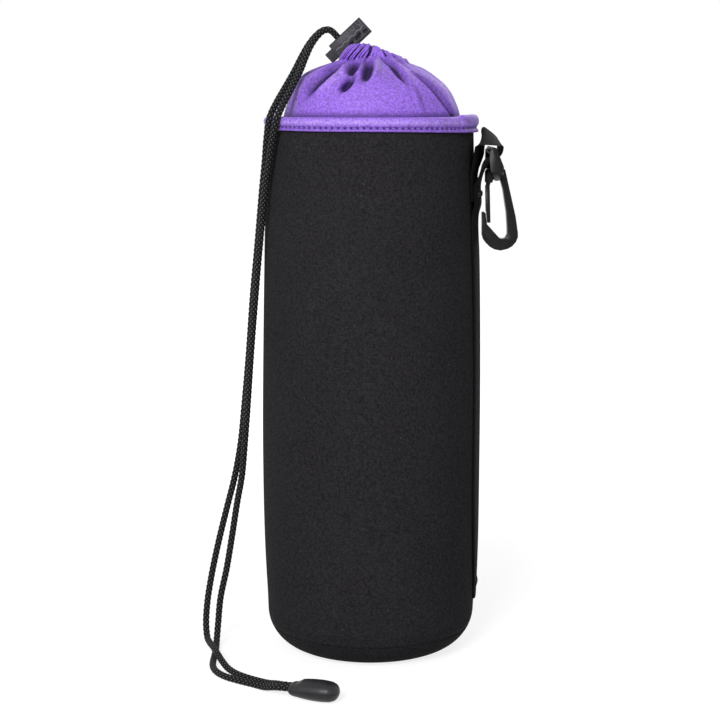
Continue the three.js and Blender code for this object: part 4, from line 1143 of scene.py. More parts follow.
class LENSPOUCH_OT_camera(PieceOperator, bpy.types.Operator):
    """Set the camera in front of the pouch, a little above it"""

    bl_idname = "lens_pouch.camera"
    bl_label = "Camera"

    def make(self, sizes, finish):
        stage = bpy.context.scene.lens_pouch_stage
        data = bpy.data.cameras.new("front_camera")
        data.lens = stage.lens
        data.sensor_width = 36.0
        camera = bpy.data.objects.new("front_camera", data)
        camera.location = [v * MM for v in CAMERA_PLACE]
        camera.rotation_euler = (math.pi / 2 - stage.pitch, 0, 0)
        bpy.context.scene.collection.objects.link(camera)
        bpy.context.scene.camera = camera


class LENSPOUCH_OT_cords(PieceOperator, bpy.types.Operator):
    """Model the two braided strands, the part of the cord in the casing and the knot"""

    bl_idname = "lens_pouch.cords"
    bl_label = "Cords and cord end"

    def make(self, sizes, finish):
        diameter = sizes.cord_diameter / MM
        cover = material(cord_finish)
        ends = self.cord_end(finish)
        self.knot(diameter, cover)
        for name, old, route, side in (
            ("cord_left", "cord_tail_left", TAIL_LEFT, 1),
            ("cord_right", "cord_tail_right", TAIL_RIGHT, -1),
        ):
            path = np.array(route) / MM
            first = path[0] - (path[1] - path[0]) / np.linalg.norm(path[1] - path[0]) * 1.2 * GAP
            piece, line = braided(name, np.vstack([first, path]), diameter)
            finish_piece(piece, name, "pouch", cover, [old])
        self.bight(sizes, diameter, cover)

    def bight(self, sizes, diameter, cover):
        """The cord inside the casing, from one leg in the lock round to the other."""
        through = Vector((-math.sin(LOCK_ANGLE), 0, math.cos(LOCK_ANGLE)))
        entry = LOCK_EXIT - through * 2 * LOCK_HALF_T
        half = sizes.strand_pitch / MM / 2
        route = []
        for side in (1, -1):
            shift = Vector((0, side * half, 0))
            tip = LOCK_EXIT + through * LEG_BEYOND
            leg = [tip + shift, LOCK_EXIT + shift, (LOCK_EXIT + entry) / 2 + shift, entry + shift]
            run = [casing_place(reach, side * width) for reach, width in BIGHT_ROWS]
            route.append([tuple(p) for p in leg] + run)
        path = route[0] + [casing_place(1, 0)] + route[1][::-1]
        piece, _ = braided("cord_in_casing", path, diameter)
        finish_piece(piece, "cord_in_casing", "pouch", cover, ["drawstring"])

    def knot(self, diameter, cover):
        """The knot that joins the strands inside the cord end."""
        turn = np.linspace(0, 2 * math.pi, 28, endpoint=False)
        reach_x, reach_y, reach_z = KNOT_REACH
        loop = np.stack([
            reach_x * np.cos(2 * turn) * (1 + 0.25 * np.cos(3 * turn)),
            reach_y * np.sin(2 * turn) * (1 + 0.25 * np.cos(3 * turn)),
            reach_z * np.sin(3 * turn),
        ], -1)
        loop = np.vstack([loop, loop[:1]]) + KNOT_PLACE
        line = curve_through(loop, 0.6)
        rings, reach = tube_rings(line, 0.42 * diameter, 12)
        piece = skin("cord_knot_inside", place_end(rings), reach, np.linspace(0, 9.5, 13))
        finish_piece(piece, "cord_knot_inside", "pouch", cover, ["cord_knot"])

    def cord_end(self, finish):
        """The two snapped halves of the cord end, with their seam, mouth and finger step."""
        share = np.concatenate([[0, 0.008], np.linspace(0.02, 0.98, 46), [0.992, 1]])
        widths = smooth_rows(END_ROWS, share)
        widths[:2] *= np.array([[0.93], [0.98]])
        sides = 72
        angle = np.arange(sides) * 2 * math.pi / sides
        gloss = material(plastic_finish, "gloss_plastic", tuple(finish.cord_end), *END_PLASTIC)
        halves = []
        for keep_upper, name, old in (
            (False, "cord_end_lower", "cord_end_shell"), (True, "cord_end_upper", "cord_end_cap"),
        ):
            outer = np.stack([
                np.broadcast_to(share[:, None] * END_LENGTH, (len(share), sides)),
                widths[:, :1] * END_HALF_W * np.cos(angle),
                widths[:, 1:] * END_HALF_H * np.sin(angle),
            ], -1)
            piece = skin(name, outer)
            if keep_upper:
                place = points_of(piece)
                start, stop, low = END_STEP
                climb = np.clip((place[:, 0] / END_LENGTH - start) / (stop - start), 0, 1)
                place[:, 2] *= low + (1 - low) * climb**2 * (3 - 2 * climb)
                set_points(piece, place)
            cut_away(piece, slab(*END_HOLLOW))
            cut_away(piece, slab(*END_ENTRY))
            low, high = (-END_CLEAR, END_SEAM) if keep_upper else (-END_SEAM, END_CLEAR)
            cut_away(piece, slab((-1, -END_CLEAR, low), (END_LENGTH + 3, END_CLEAR, high)))
            bevel(piece, 0.22, 2, 40)
            set_points(piece, place_end(points_of(piece)))
            smooth_by_angle(piece, 32)
            finish_piece(piece, name, "pouch", gloss, [old])
            halves.append(piece)
        return halves


def place_end(points):
    """Carries points from the cord end's own axes to the pouch."""
    c, s = math.cos(END_TURN), math.sin(END_TURN)
    x, y, z = np.moveaxis(points, -1, 0)
    return np.stack([x * c - y * s + END_MOUTH.x, x * s + y * c + END_MOUTH.y, z + END_MOUTH.z], -1)


def slab(low, high, round_edge=0.0, segments=4):
    """A block between two corners with rounded edges, used to cut with or to add."""
    deselect()
    low, high = np.array(low, float), np.array(high, float)
    bpy.ops.mesh.primitive_cube_add(size=1, location=(0, 0, 0), calc_uvs=False)
    block = bpy.context.object
    set_points(block, points_of(block) * MM * (high - low) + (low + high) / 2)
    if round_edge:
        add_modifier(block, "BEVEL", width=round_edge * MM, segments=segments, limit_method="NONE")
        apply_modifiers(block)
    return block


def casing_place(reach, width):
    """A point of the drawstring's bight in the tilted plane of the casing, from shares."""
    through = np.array((-math.sin(LOCK_ANGLE), 0, math.cos(LOCK_ANGLE)))
    start = np.array(LOCK_EXIT) - through * (2 * LOCK_HALF_T + 1)
    along = np.array((math.cos(CASING_TILT), 0, -math.sin(CASING_TILT)))
    place = start + along * reach * BIGHT_REACH + np.array((0, 1, 0)) * width * BIGHT_HALF
    return tuple(place)


class LENSPOUCH_OT_body(PieceOperator, bpy.types.Operator):
    """Model the neoprene tube, the base panel, its pad, the linings and their seam"""

    bl_idname = "lens_pouch.body"
    bl_label = "Padded body"

    def make(self, sizes, finish):
        top = sizes.body_top / MM
        foot = BASE_SEAM_Z + SEAM_HALF_GAP
        low = np.linspace(foot + LIP_EDGE, 26, 12)
        levels = np.concatenate([low, np.linspace(30, top - LIP_EDGE, 48)])
        outer = wall_at(levels)
        inner = wall_at(levels[::-1], NEOPRENE)
        lip_top = rounded_lip(outer[-1][0], inner[0][0], top, 1)
        lip_foot = rounded_lip(float(body_radius(foot)), float(body_radius(foot, NEOPRENE)), foot, -1)
        piece = turned("body_tube", outer + lip_top + inner + lip_foot[::-1] + outer[:1], BODY_STEPS)
        self.soften(piece, sizes)
        finish_piece(piece, "body_tube", "pouch", material(neoprene_finish), ["outer_sleeve"])
        self.base(sizes)
        self.inside(sizes, top)

    def soften(self, piece, sizes):
        set_points(piece, settle(points_of(piece)))
        wrap_uv(piece, sizes.body_radius / MM)

    def base(self, sizes):
        """The round cup of neoprene under the tube, and the seam over it."""
        top = BASE_SEAM_Z - SEAM_HALF_GAP
        share = np.linspace(0, 1, 16)
        outer = wall_at((top - LIP_EDGE) * share**2)
        inner = wall_at((NEOPRENE + (top - LIP_EDGE - NEOPRENE) * share**2)[::-1], NEOPRENE)
        lip = rounded_lip(float(body_radius(top)), float(body_radius(top, NEOPRENE)), top, 1)
        disc = [(r, 0.0) for r in np.linspace(0, outer[0][0], 10)[:-1]]
        floor = [(r, NEOPRENE) for r in np.linspace(inner[-1][0], 0, 8)[1:]]
        piece = turned("base_cup", disc + outer + lip + inner + floor, BODY_STEPS)
        self.soften(piece, sizes)
        finish_piece(piece, "base_cup", "pouch", material(neoprene_finish), ["base_panel"])
        level = BASE_SEAM_Z + SEAM_RISE
        radius = float(body_radius(level)) - 0.02
        length = sizes.stitch_length / MM
        seam = ring_of_stitches("base_seam", radius, level, length, SEAM_STITCH_GAP, SEAM_THREAD)
        thread = material(thread_finish, "black_thread", BLACK_THREAD)
        finish_piece(seam, "base_seam", "pouch", thread)

    def inside(self, sizes, top):
        """The foam pad, and the knit linings of the base and of the tube."""
        inset = NEOPRENE + GAP
        low, high = inset, inset + PAD_THICKNESS
        side = [(r - 0.2, z) for r, z in wall_at(np.linspace(low + 0.4, high - 0.4, 6), inset)]
        profile = [(0, low), (side[0][0] - 1.5, low), *side, (side[-1][0] - 1.2, high), (0, high)]
        pad = turned("base_foam", profile, PAD_STEPS)
        self.soften(pad, sizes)
        foam = material(foam_finish, "grey_foam", FOAM_GREY)
        finish_piece(pad, "base_foam", "pouch", foam, ["base_pad"])
        low = high + GAP
        radius = float(body_radius(low, inset)) - 0.25
        knit = material(satin_knit_finish)
        edge = [(radius, low), (radius + 0.1, low + 0.4), (radius, low + LINING)]
        disc = turned("base_knit", [(0, low), *edge, (0, low + LINING)], PAD_STEPS)
        self.soften(disc, sizes)
        finish_piece(disc, "base_knit", "pouch", knit, ["base_lining"])
        levels = np.linspace(low + LINING + GAP, top - LINING_BELOW_TOP, 40)
        outer = wall_at(levels, inset)
        inner = wall_at(levels[::-1], inset + LINING)
        tube = turned("knit_lining", outer + inner + outer[:1], LINING_STEPS)
        self.soften(tube, sizes)
        finish_piece(tube, "knit_lining", "pouch", knit, ["inner_lining"])


def rounded_lip(outside, inside, level, side):
    """Points over an edge of the neoprene, from the outside over to the inside."""
    edge = LIP_EDGE
    low, high = level - side * edge * 0.5, level - side * edge * 0.13
    return [
        (outside - edge * 0.13, low), (outside - edge * 0.5, high), (outside - edge, level),
        ((outside + inside) / 2, level),
        (inside + edge, level), (inside + edge * 0.5, high), (inside + edge * 0.13, low),
    ]


def rim_sway(turn):
    """How far the lower edge of the binding rises and dips round the rim."""
    return 0.13 * np.sin(4 * turn + 0.8) - 0.55 * np.cos(turn)


class LENSPOUCH_OT_binding(PieceOperator, bpy.types.Operator):
    """Model the knit strip folded over the rim, with its stitch row"""

    bl_idname = "lens_pouch.binding"
    bl_label = "Rim binding"

    def make(self, sizes, finish):
        top = sizes.body_top / MM
        thick = sizes.binding_thickness / MM
        wall = float(body_radius(top))
        out = wall + GAP + thick
        inner = wall - NEOPRENE - GAP - thick
        foot, crown = top - BINDING_DEPTH, top + GAP + thick
        middle = (out + inner) / 2
        rolled = [
            (-0.75, 0.2), (-0.5, 0), (-0.12, -0.02), (0.16, 0.2), (0.24, 0.6), (0.12, 1.0), (-0.25, 1.3),
            (-0.5, 1.6), (-0.42, 1.95), (-0.05, 2.4), (0.25, 3.1), (0.38, 3.9), (0.3, 4.7), (0, 5.45),
            (-0.55, 6.0), (-1.4, 6.3),
        ]
        hemmed = [
            (1.5, 6.3), (0.7, 5.95), (0.2, 5.3), (0.03, 4.4), (0, 1.2), (0.1, 0.85), (0.5, 0.75),
            (thick - 0.05, 0.9), (thick, 1.2),
        ]
        profile = [(out + r, foot + z) for r, z in rolled] + [(middle, crown)]
        profile += [(inner + r, foot + z) for r, z in hemmed]
        profile += [
            (inner + thick, top + 0.3 * GAP), (inner + thick + 0.4, top + 0.6 * GAP),
            (wall - 0.4, top + 0.6 * GAP), (wall + 0.5 * GAP, top), (wall + 0.5 * GAP, foot + 0.5),
            profile[0],
        ]
        piece = turned("rim_strip", profile, RIM_STEPS)
        place = points_of(piece)
        turn = np.arctan2(place[:, 1], place[:, 0])
        degrees = np.degrees(turn)
        height = (place[:, 2] - foot) / (crown - foot)
        outside = np.clip((np.hypot(place[:, 0], place[:, 1]) - middle) / 2, 0, 1)
        ripple = 0.11 * np.sin(29 * turn + 1.3 * np.sin(5 * turn))
        ripple = ripple + 0.08 * np.sin(53 * turn + 2 * np.sin(3 * turn))
        length = sizes.stitch_length / MM
        count = round(2 * math.pi * (out - ROW_SINK) / (length + ROW_GAP))
        groove = bell((height - 0.255) / 0.085) * outside
        hole = (0.5 - 0.5 * np.cos(count * turn)) ** 2
        pull = 0.3 * groove * hole
        lap = 1 / (1 + np.exp(-(degrees + 34) * 1.6)) / (1 + np.exp((degrees - 20) * 0.35))
        crease = bell((height - 0.42 + 0.012 * (degrees + 10)) / 0.07)
        lap = lap * outside * (1 - 0.5 * crease)
        push = 1 + (ripple * outside * np.clip(1.5 - height, 0, 1) - pull + 0.85 * lap) / NOMINAL_R
        place[:, 0] *= push
        place[:, 1] *= push
        place[:, 2] += outside * rim_sway(turn) * (1 - height) + 1.1 * lap * np.clip(height, 0, 1) ** 2
        set_points(piece, place)
        wrap_uv(piece, sizes.body_radius / MM)
        # Painted shade in the stitch groove and its needle holes, in the crease of the lap and along the
        # lower edge, and a painted highlight along the rounded roll
        shade = groove * (0.3 + 0.6 * hole) + 0.5 * lap * crease + 0.35 * bell(height / 0.05) * outside
        shade = shade - 0.55 * outside * bell((height - 0.62) / 0.17) * (1 - 0.6 * lap * crease)
        mark(piece, "fold", np.clip(shade, -0.6, 0.9))
        knit = material(satin_knit_finish)
        finish_piece(piece, "rim_strip", "pouch", knit, ["rim_binding"])
        row = ring_of_stitches("rim_stitches", out - ROW_SINK, foot + ROW_RISE, length, ROW_GAP, ROW_THREAD)
        place = points_of(row)
        turn = np.arctan2(place[:, 1], place[:, 0])
        place[:, 2] += rim_sway(turn) * (1 - ROW_RISE / (crown - foot))
        set_points(row, place)
        thread = material(thread_finish, "purple_thread", PURPLE_THREAD)
        finish_piece(row, "rim_stitches", "pouch", thread)


class LENSPOUCH_OT_collar(PieceOperator, bpy.types.Operator):
    """Model the gathered collar and the pleated casing of the drawstring"""

    bl_idname = "lens_pouch.collar"
    bl_label = "Gathered collar"

    def make(self, sizes, finish):
        knit = material(satin_knit_finish)
        collar = self.dome()
        casing = self.casing(sizes)
        puff = self.puff()
        finish_piece(casing, "collar_casing", "pouch", knit)
        finish_piece(puff, "collar_gathers", "pouch", knit)
        finish_piece(collar, "collar_dome", "pouch", knit, ["collar"])

    def dome(self):
        """The sheet from the rim to the casing: its smooth form, then its folds."""
        turns, rises = 416, 118
        turn = np.arange(turns) * 2 * math.pi / turns
        degrees = np.degrees(turn - 0.4 * np.cos(turn))
        fine = np.linspace(0, 1, 400)
        climb = distance_along(collar_places(270, fine))
        share = np.interp(np.linspace(0, climb[-1], rises), climb, fine)
        place = collar_places(degrees[None, :], share[:, None])
        around = np.roll(place, -1, axis=1) - np.roll(place, 1, axis=1)
        upward = np.gradient(place, axis=0)
        out = np.cross(around, upward)
        out /= np.linalg.norm(out, axis=-1)[..., None]
        depth, hollow = self.folds(place, share, degrees)
        place = place - out * depth[..., None]
        reach = np.interp(share, fine, climb)
        cloth = np.radians(np.append(degrees, degrees[0] + 360)) * COLLAR_FOOT_R
        piece = skin("collar_dome", place, reach, cloth, capped=False)
        # The attribute fold: painted shade in the hollows of the folds and a painted highlight on their
        # ridges
        mark(piece, "fold", hollow)
        add_modifier(piece, "SOLIDIFY", thickness=0.9 * MM, offset=-1, use_rim=True)
        apply_modifiers(piece)
        return piece

    def folds(self, place, share, degrees):
        """Depth of all folds at each point, and the painted shade in their hollows (positive) and painted
        highlight on ridges (negative) there.
        """
        depth = np.zeros(place.shape[:2])
        hollow = np.zeros(place.shape[:2])
        crest_highlight = np.zeros(place.shape[:2])
        for points, deep, wide in FOLDS + self.gathers():
            away = 1 if points[0][0] > 270 else -1
            fine = smooth_line(np.array(points, float), 24)
            route = collar_places(fine[:, 0], fine[:, 1])
            travel = np.linspace(0, 1, len(route))
            taper = np.sin(math.pi * np.clip(travel * 0.86 + 0.12, 0, 1)) ** 0.8
            if wide < 1:
                taper = np.clip(1.1 - travel, 0, 1) ** 0.7
            gap = np.linalg.norm(place[..., None, :] - route, axis=-1)
            nearest = gap.argmin(-1)
            strength = taper[nearest]
            ratio = gap.min(-1) / (wide * (0.75 + 0.5 * strength))
            valley = np.exp(-(ratio ** (3 if deep > STEEP_FROM else 2)))
            ridge = np.exp(-((ratio - 1.75) ** 2) * 2.2)
            depth += deep * strength * (valley - 0.24 * ridge)
            # Painted shade in the hollow of a fold
            if deep > 0:
                shade = np.exp(-((0.95 * ratio) ** (4 if deep > STEEP_FROM else 2)))
                hollow = np.maximum(hollow, strength * min(1, deep / 2.0) * shade)
                # Folds of middle depth: painted shade on the bank that faces away from the front
                if BANKED_DEPTHS[0] < deep < BANKED_DEPTHS[1] and wide > 1:
                    lee_shade = np.clip(0.5 + away * (degrees[None, :] - fine[:, 0][nearest]) / 3, 0, 1)
                    lee_shade = lee_shade * bell(ratio / 2.6) * np.clip(strength * 1.4, 0, 1)
                    hollow = np.maximum(hollow, 0.5 * lee_shade)
            else:
                # Painted highlight along a ridge
                crest_highlight = np.maximum(crest_highlight, 0.45 * strength * bell(ratio))
        swell = 0.35 * np.sin(np.radians(5 * degrees) + 0.7)[None, :]
        depth += swell * (share * (1 - share) * 2)[:, None]
        fade = np.clip((share - 0.06) / 0.14, 0, 1)[:, None]
        # Painted shade in a band low on the dome, just above the binding
        foot = 0.5 * bell((share - 0.17) / 0.06)[:, None]
        return depth * fade, (hollow - crest_highlight * (1 - hollow)) * fade + foot

    def gathers(self):
        """The many small folds that run out from the casing."""
        random = np.random.default_rng(SEED)
        small = []
        for k in range(30):
            start = 12 * k + random.uniform(-3, 3)
            lean = random.uniform(-5, 5)
            line = [(start, 0.995), (start + lean * 0.4, 0.95), (start + lean, random.uniform(0.84, 0.92))]
            small.append((line, random.uniform(0.45, 0.8), 0.85))
        return small

    def puff(self):
        """Bunched cloth in front of the casing, with leaning creases where the cord draws it in."""
        rows = np.array(GATHER_ROWS)
        share = np.linspace(0, 1, len(rows))
        line = smooth_rows([(a, *b) for a, b in zip(share, rows)], np.linspace(0, 1, 240))
        middle, half_y, half_z = line[:, :3], line[:, 3:4], line[:, 4:5]
        sides = 84
        angle = (np.arange(sides) * 2 * math.pi / sides)[None, :]
        tangent = np.gradient(middle, axis=0)
        tangent /= np.linalg.norm(tangent, axis=1)[:, None]
        upright = np.array((0.0, 0.0, 1.0))
        across = np.cross(tangent, upright)
        across /= np.linalg.norm(across, axis=1)[:, None]
        rise = half_z * np.sin(angle)
        drawn = np.zeros_like(rise)
        for at, deep, wide, lean in GATHER_CREASES:
            spot = (middle[:, :1] - at - lean * rise) / wide
            drawn += deep * (bell(spot) - 0.25 * bell(np.abs(spot) - 2.2))
        slack = np.clip(half_y / 2.2, 0, 1) * np.clip(1.4 - rise / half_z, 0.6, 1)
        drawn = drawn * slack
        thick = half_y - drawn * 0.9
        rings = middle[:, None] + across[:, None] * (thick * np.cos(angle))[..., None]
        rings = rings + upright * ((half_z - 0.55 * drawn) * np.sin(angle))[..., None]
        length, girth = GATHER_CLOTH
        reach = np.linspace(0, length, len(rings))
        piece = skin("collar_gathers", rings, reach, np.linspace(0, girth, sides + 1))
        # Painted shade in the creases where the cord draws the cloth in
        mark(piece, "fold", np.clip(drawn * 0.85, 0, 0.9))
        return piece

    def casing(self, sizes):
        """Roll of cloth round the bight of the cord, drawn into small slanting pleats."""
        upright = np.array((math.sin(CASING_TILT), 0, math.cos(CASING_TILT)))
        loop = [casing_place(CASING_NECK, 0)] + [casing_place(a, b) for a, b in CASING_ROWS]
        loop += [casing_place(1, 0)] + [casing_place(a, -b) for a, b in CASING_ROWS[::-1]]
        rounds = curve_through(loop + loop[:3], 0.16)
        away = np.linalg.norm(rounds - np.array(loop[1]), axis=1)
        half = len(rounds) // 2
        path = rounds[away[:half].argmin() : half + away[half:].argmin()]
        tangent = np.roll(path, -1, axis=0) - np.roll(path, 1, axis=0)
        tangent /= np.linalg.norm(tangent, axis=1)[:, None]
        inward = np.cross(tangent, upright)
        sides = 48
        angle = np.arange(sides) * 2 * math.pi / sides
        travel = (np.arange(len(path)) / len(path))[:, None]
        slant = 0.55 * np.sin(angle)[None, :] + 0.35 * np.sin(2 * math.pi * 3 * travel)
        phase = 2 * math.pi * sizes.pleats * travel + slant
        lobe = 0.5 - 0.5 * np.cos(phase)
        varied = 0.75 + 0.35 * np.sin(2 * math.pi * 7 * travel + 1.1) * np.cos(2 * math.pi * 4 * travel)
        pleat = PLEAT_DEPTH * varied * (lobe**0.6 - 0.55)
        w = (CASING_HALF_W + pleat) * np.cos(angle)
        h = (CASING_HALF_H + pleat) * np.sin(angle)
        rings = path[:, None] + inward[:, None] * w[..., None] + upright * h[..., None]
        length, girth = CASING_CLOTH
        reach = np.linspace(0, length, len(path) + 1)
        piece = skin("collar_casing", rings, reach, np.linspace(0, girth, sides + 1), looped=True)
        # Painted shade between the pleats and a painted highlight on their crowns
        mark(piece, "fold", 0.9 * (0.68 - lobe**0.6))
        return piece


def smooth_line(points, count):
    """Points on a smooth line through a few given ones, in any two measures."""
    x = np.linspace(0, 1, len(points))
    table = [(a, *b) for a, b in zip(x, points)]
    return smooth_rows(table, np.linspace(0, 1, count))


def collar_places(degrees, share):
    """Points of the collar's smooth form from degrees round it and shares of its rise."""
    degrees, share = np.broadcast_arrays(np.asarray(degrees, float), np.asarray(share, float))
    values = smooth_rows(COLLAR_ROWS, share.ravel()).reshape(*share.shape, 3)
    left, right, tilt = np.moveaxis(values, -1, 0)
    angle = np.radians(degrees)
    side = (1 + np.cos(angle)) / 2
    reach = COLLAR_FOOT_R * (left * (1 - side) + right * side)
    flare = np.clip((share - 0.93) / 0.07, 0, 1)
    flare = flare**2 * (3 - 2 * flare) * side**1.5
    x = (reach + 1.7 * flare) * np.cos(angle)
    y = LOCK_Y * share**2 + (reach + 1.7 * flare) * np.sin(angle)
    z = COLLAR_FOOT_Z + COLLAR_RISE * share - tilt * math.tan(CASING_TILT) * (x - MOUTH_X) + 3 * flare
    return np.stack([x, y, z], -1)


class LENSPOUCH_OT_lock(PieceOperator, bpy.types.Operator):
    """Model the cord lock: its housing with ridges and pockets, and its sprung button"""

    bl_idname = "lens_pouch.lock"
    bl_label = "Cord lock"

    def make(self, sizes, finish):
        plastic = material(plastic_finish, "matte_plastic", tuple(finish.lock), *LOCK_PLASTIC)
        housing = copy_of_node("lock_housing", "lock_body")
        for side in (-1, 1):
            self.pockets(housing, side)
        bevel(housing, 0.22, 2, 40)
        # Painted shade on the housing between these depths under each face, in the pockets and recesses
        inside = LOCK_HALF_W - np.abs(points_of(housing)[:, 1] - LOCK_EXIT.y)
        start, stop = FACE_GROOVE
        mark(housing, "wear", np.where((inside > start) & (inside < stop), -0.9, 0))
        ridges = []
        for side in (-1, 1):
            ridges += [self.ridge(u, side) for u in LOCK_RIDGES]
            ridges.append(self.rail(side))
        # Painted highlight over the whole of each ridge and rail
        for ridge in ridges:
            mark(ridge, "wear", np.ones(len(ridge.data.vertices)))
        housing = join([housing, *ridges])
        smooth_by_angle(housing, 35)
        finish_piece(housing, "lock_body", "cord_lock", plastic, ["lock_housing"])
        button = copy_of_node("lock_button", "lock_plunger")
        bevel(button, 0.18, 2, 40)
        smooth_by_angle(button, 35)
        finish_piece(button, "lock_plunger", "lock_button", plastic, ["lock_button"])
        steel = material(steel_finish)
        coil = copy_of_node("lock_spring", "lock_coil")
        smooth_by_angle(coil, 40)
        finish_piece(coil, "lock_coil", "cord_lock", steel, ["lock_spring"])
        press = np.array((math.cos(LOCK_ANGLE), 0, math.sin(LOCK_ANGLE)))
        reach = points_of(coil) @ press
        held = points_of(coil)[reach.argmax()] * MM
        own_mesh(coil)
        for name in ("clip_gate_pin", "clip_gate_spring"):
            carried = frame["nodes"][name]
            carried.data.materials.clear()
            carried.data.materials.append(steel)

    def put(self, piece):
        """Carries a detail from the lock's own axes, u along X and h along Z, to the pouch."""
        c, s = math.cos(LOCK_ANGLE), math.sin(LOCK_ANGLE)
        u, across, h = points_of(piece).T
        u, h = u - LOCK_SETBACK, h - LOCK_HALF_T
        x, z = LOCK_EXIT.x + u * c - h * s, LOCK_EXIT.z + u * s + h * c
        set_points(piece, np.stack([x, LOCK_EXIT.y + across, z], -1))
        return piece

    def ridge(self, u, side):
        """A raised U on the face, open towards the edge where the strands come out."""
        deselect()
        bpy.ops.mesh.primitive_torus_add(
            major_radius=RIDGE_R * MM, minor_radius=RIDGE_HALF * MM, major_segments=24, minor_segments=10,
            generate_uvs=False,
        )
        piece = bpy.context.object
        edit(piece)
        bpy.ops.mesh.bisect(plane_co=(0, 0, 0), plane_no=(0, 1, 0), clear_outer=True, use_fill=False)
        bpy.ops.mesh.select_all(action="DESELECT")
        bpy.ops.mesh.select_mode(type="VERT")
        leave_edit()
        for vertex in piece.data.vertices:
            vertex.select = abs(vertex.co.y) < 0.001 * MM
        edit_kept(piece)
        step = {"value": (0, RIDGE_LEG * MM, 0)}
        bpy.ops.mesh.extrude_region_move(TRANSFORM_OT_translate=step)
        bpy.ops.mesh.select_all(action="SELECT")
        bpy.ops.mesh.region_to_loop()
        bpy.ops.mesh.edge_face_add()
        leave_edit()
        x, y, z = points_of(piece).T
        place = np.stack([x * 0.85 + u, z + side * (LOCK_HALF_W - 0.02), y + RIDGE_TOP], -1)
        set_points(piece, place)
        edit(piece)
        bpy.ops.mesh.fill_holes(sides=20)
        bpy.ops.mesh.normals_make_consistent(inside=False)
        leave_edit()
        return self.put(piece)

    def rail(self, side):
        """The low wavy rail down the middle of the face."""
        u = np.linspace(RAIL_START, RAIL_STOP, 90)
        h = 0.15 + 0.32 * np.sin(2 * math.pi * (u - RAIL_START) / RAIL_WAVE)
        face = side * (LOCK_HALF_W - 0.02)
        rings, _ = tube_rings(np.stack([u, 0 * u + face, h], -1), 0.34, 10)
        rings[..., 1] = face + (rings[..., 1] - face) * 0.6
        return self.put(skin("lock_rail", rings))

    def pockets(self, housing, side):
        """Shallow scalloped pockets along the lower edge of the face."""
        face = side * LOCK_HALF_W
        y = sorted((face - side * POCKET_DEPTH, face + side * 1.0))
        for low, high in LOCK_POCKETS:
            cutter = slab((low[0], y[0], low[1]), (high[0], y[1], high[1]), 0.55, 3)
            cut_away(housing, self.put(cutter))


def side_place(r, angle, z):
    """A point from distance, angle round the strap's side of the pouch and height."""
    turn = angle + STRAP_TURN
    return np.stack([r * np.cos(turn), r * np.sin(turn), z + 0 * turn], -1)


def side_directions(angle):
    """Unit directions outward and round the pouch at angles from the strap's middle."""
    out = side_place(1.0, angle, 0)
    return out, np.stack([-out[:, 1], out[:, 0], out[:, 2]], -1)


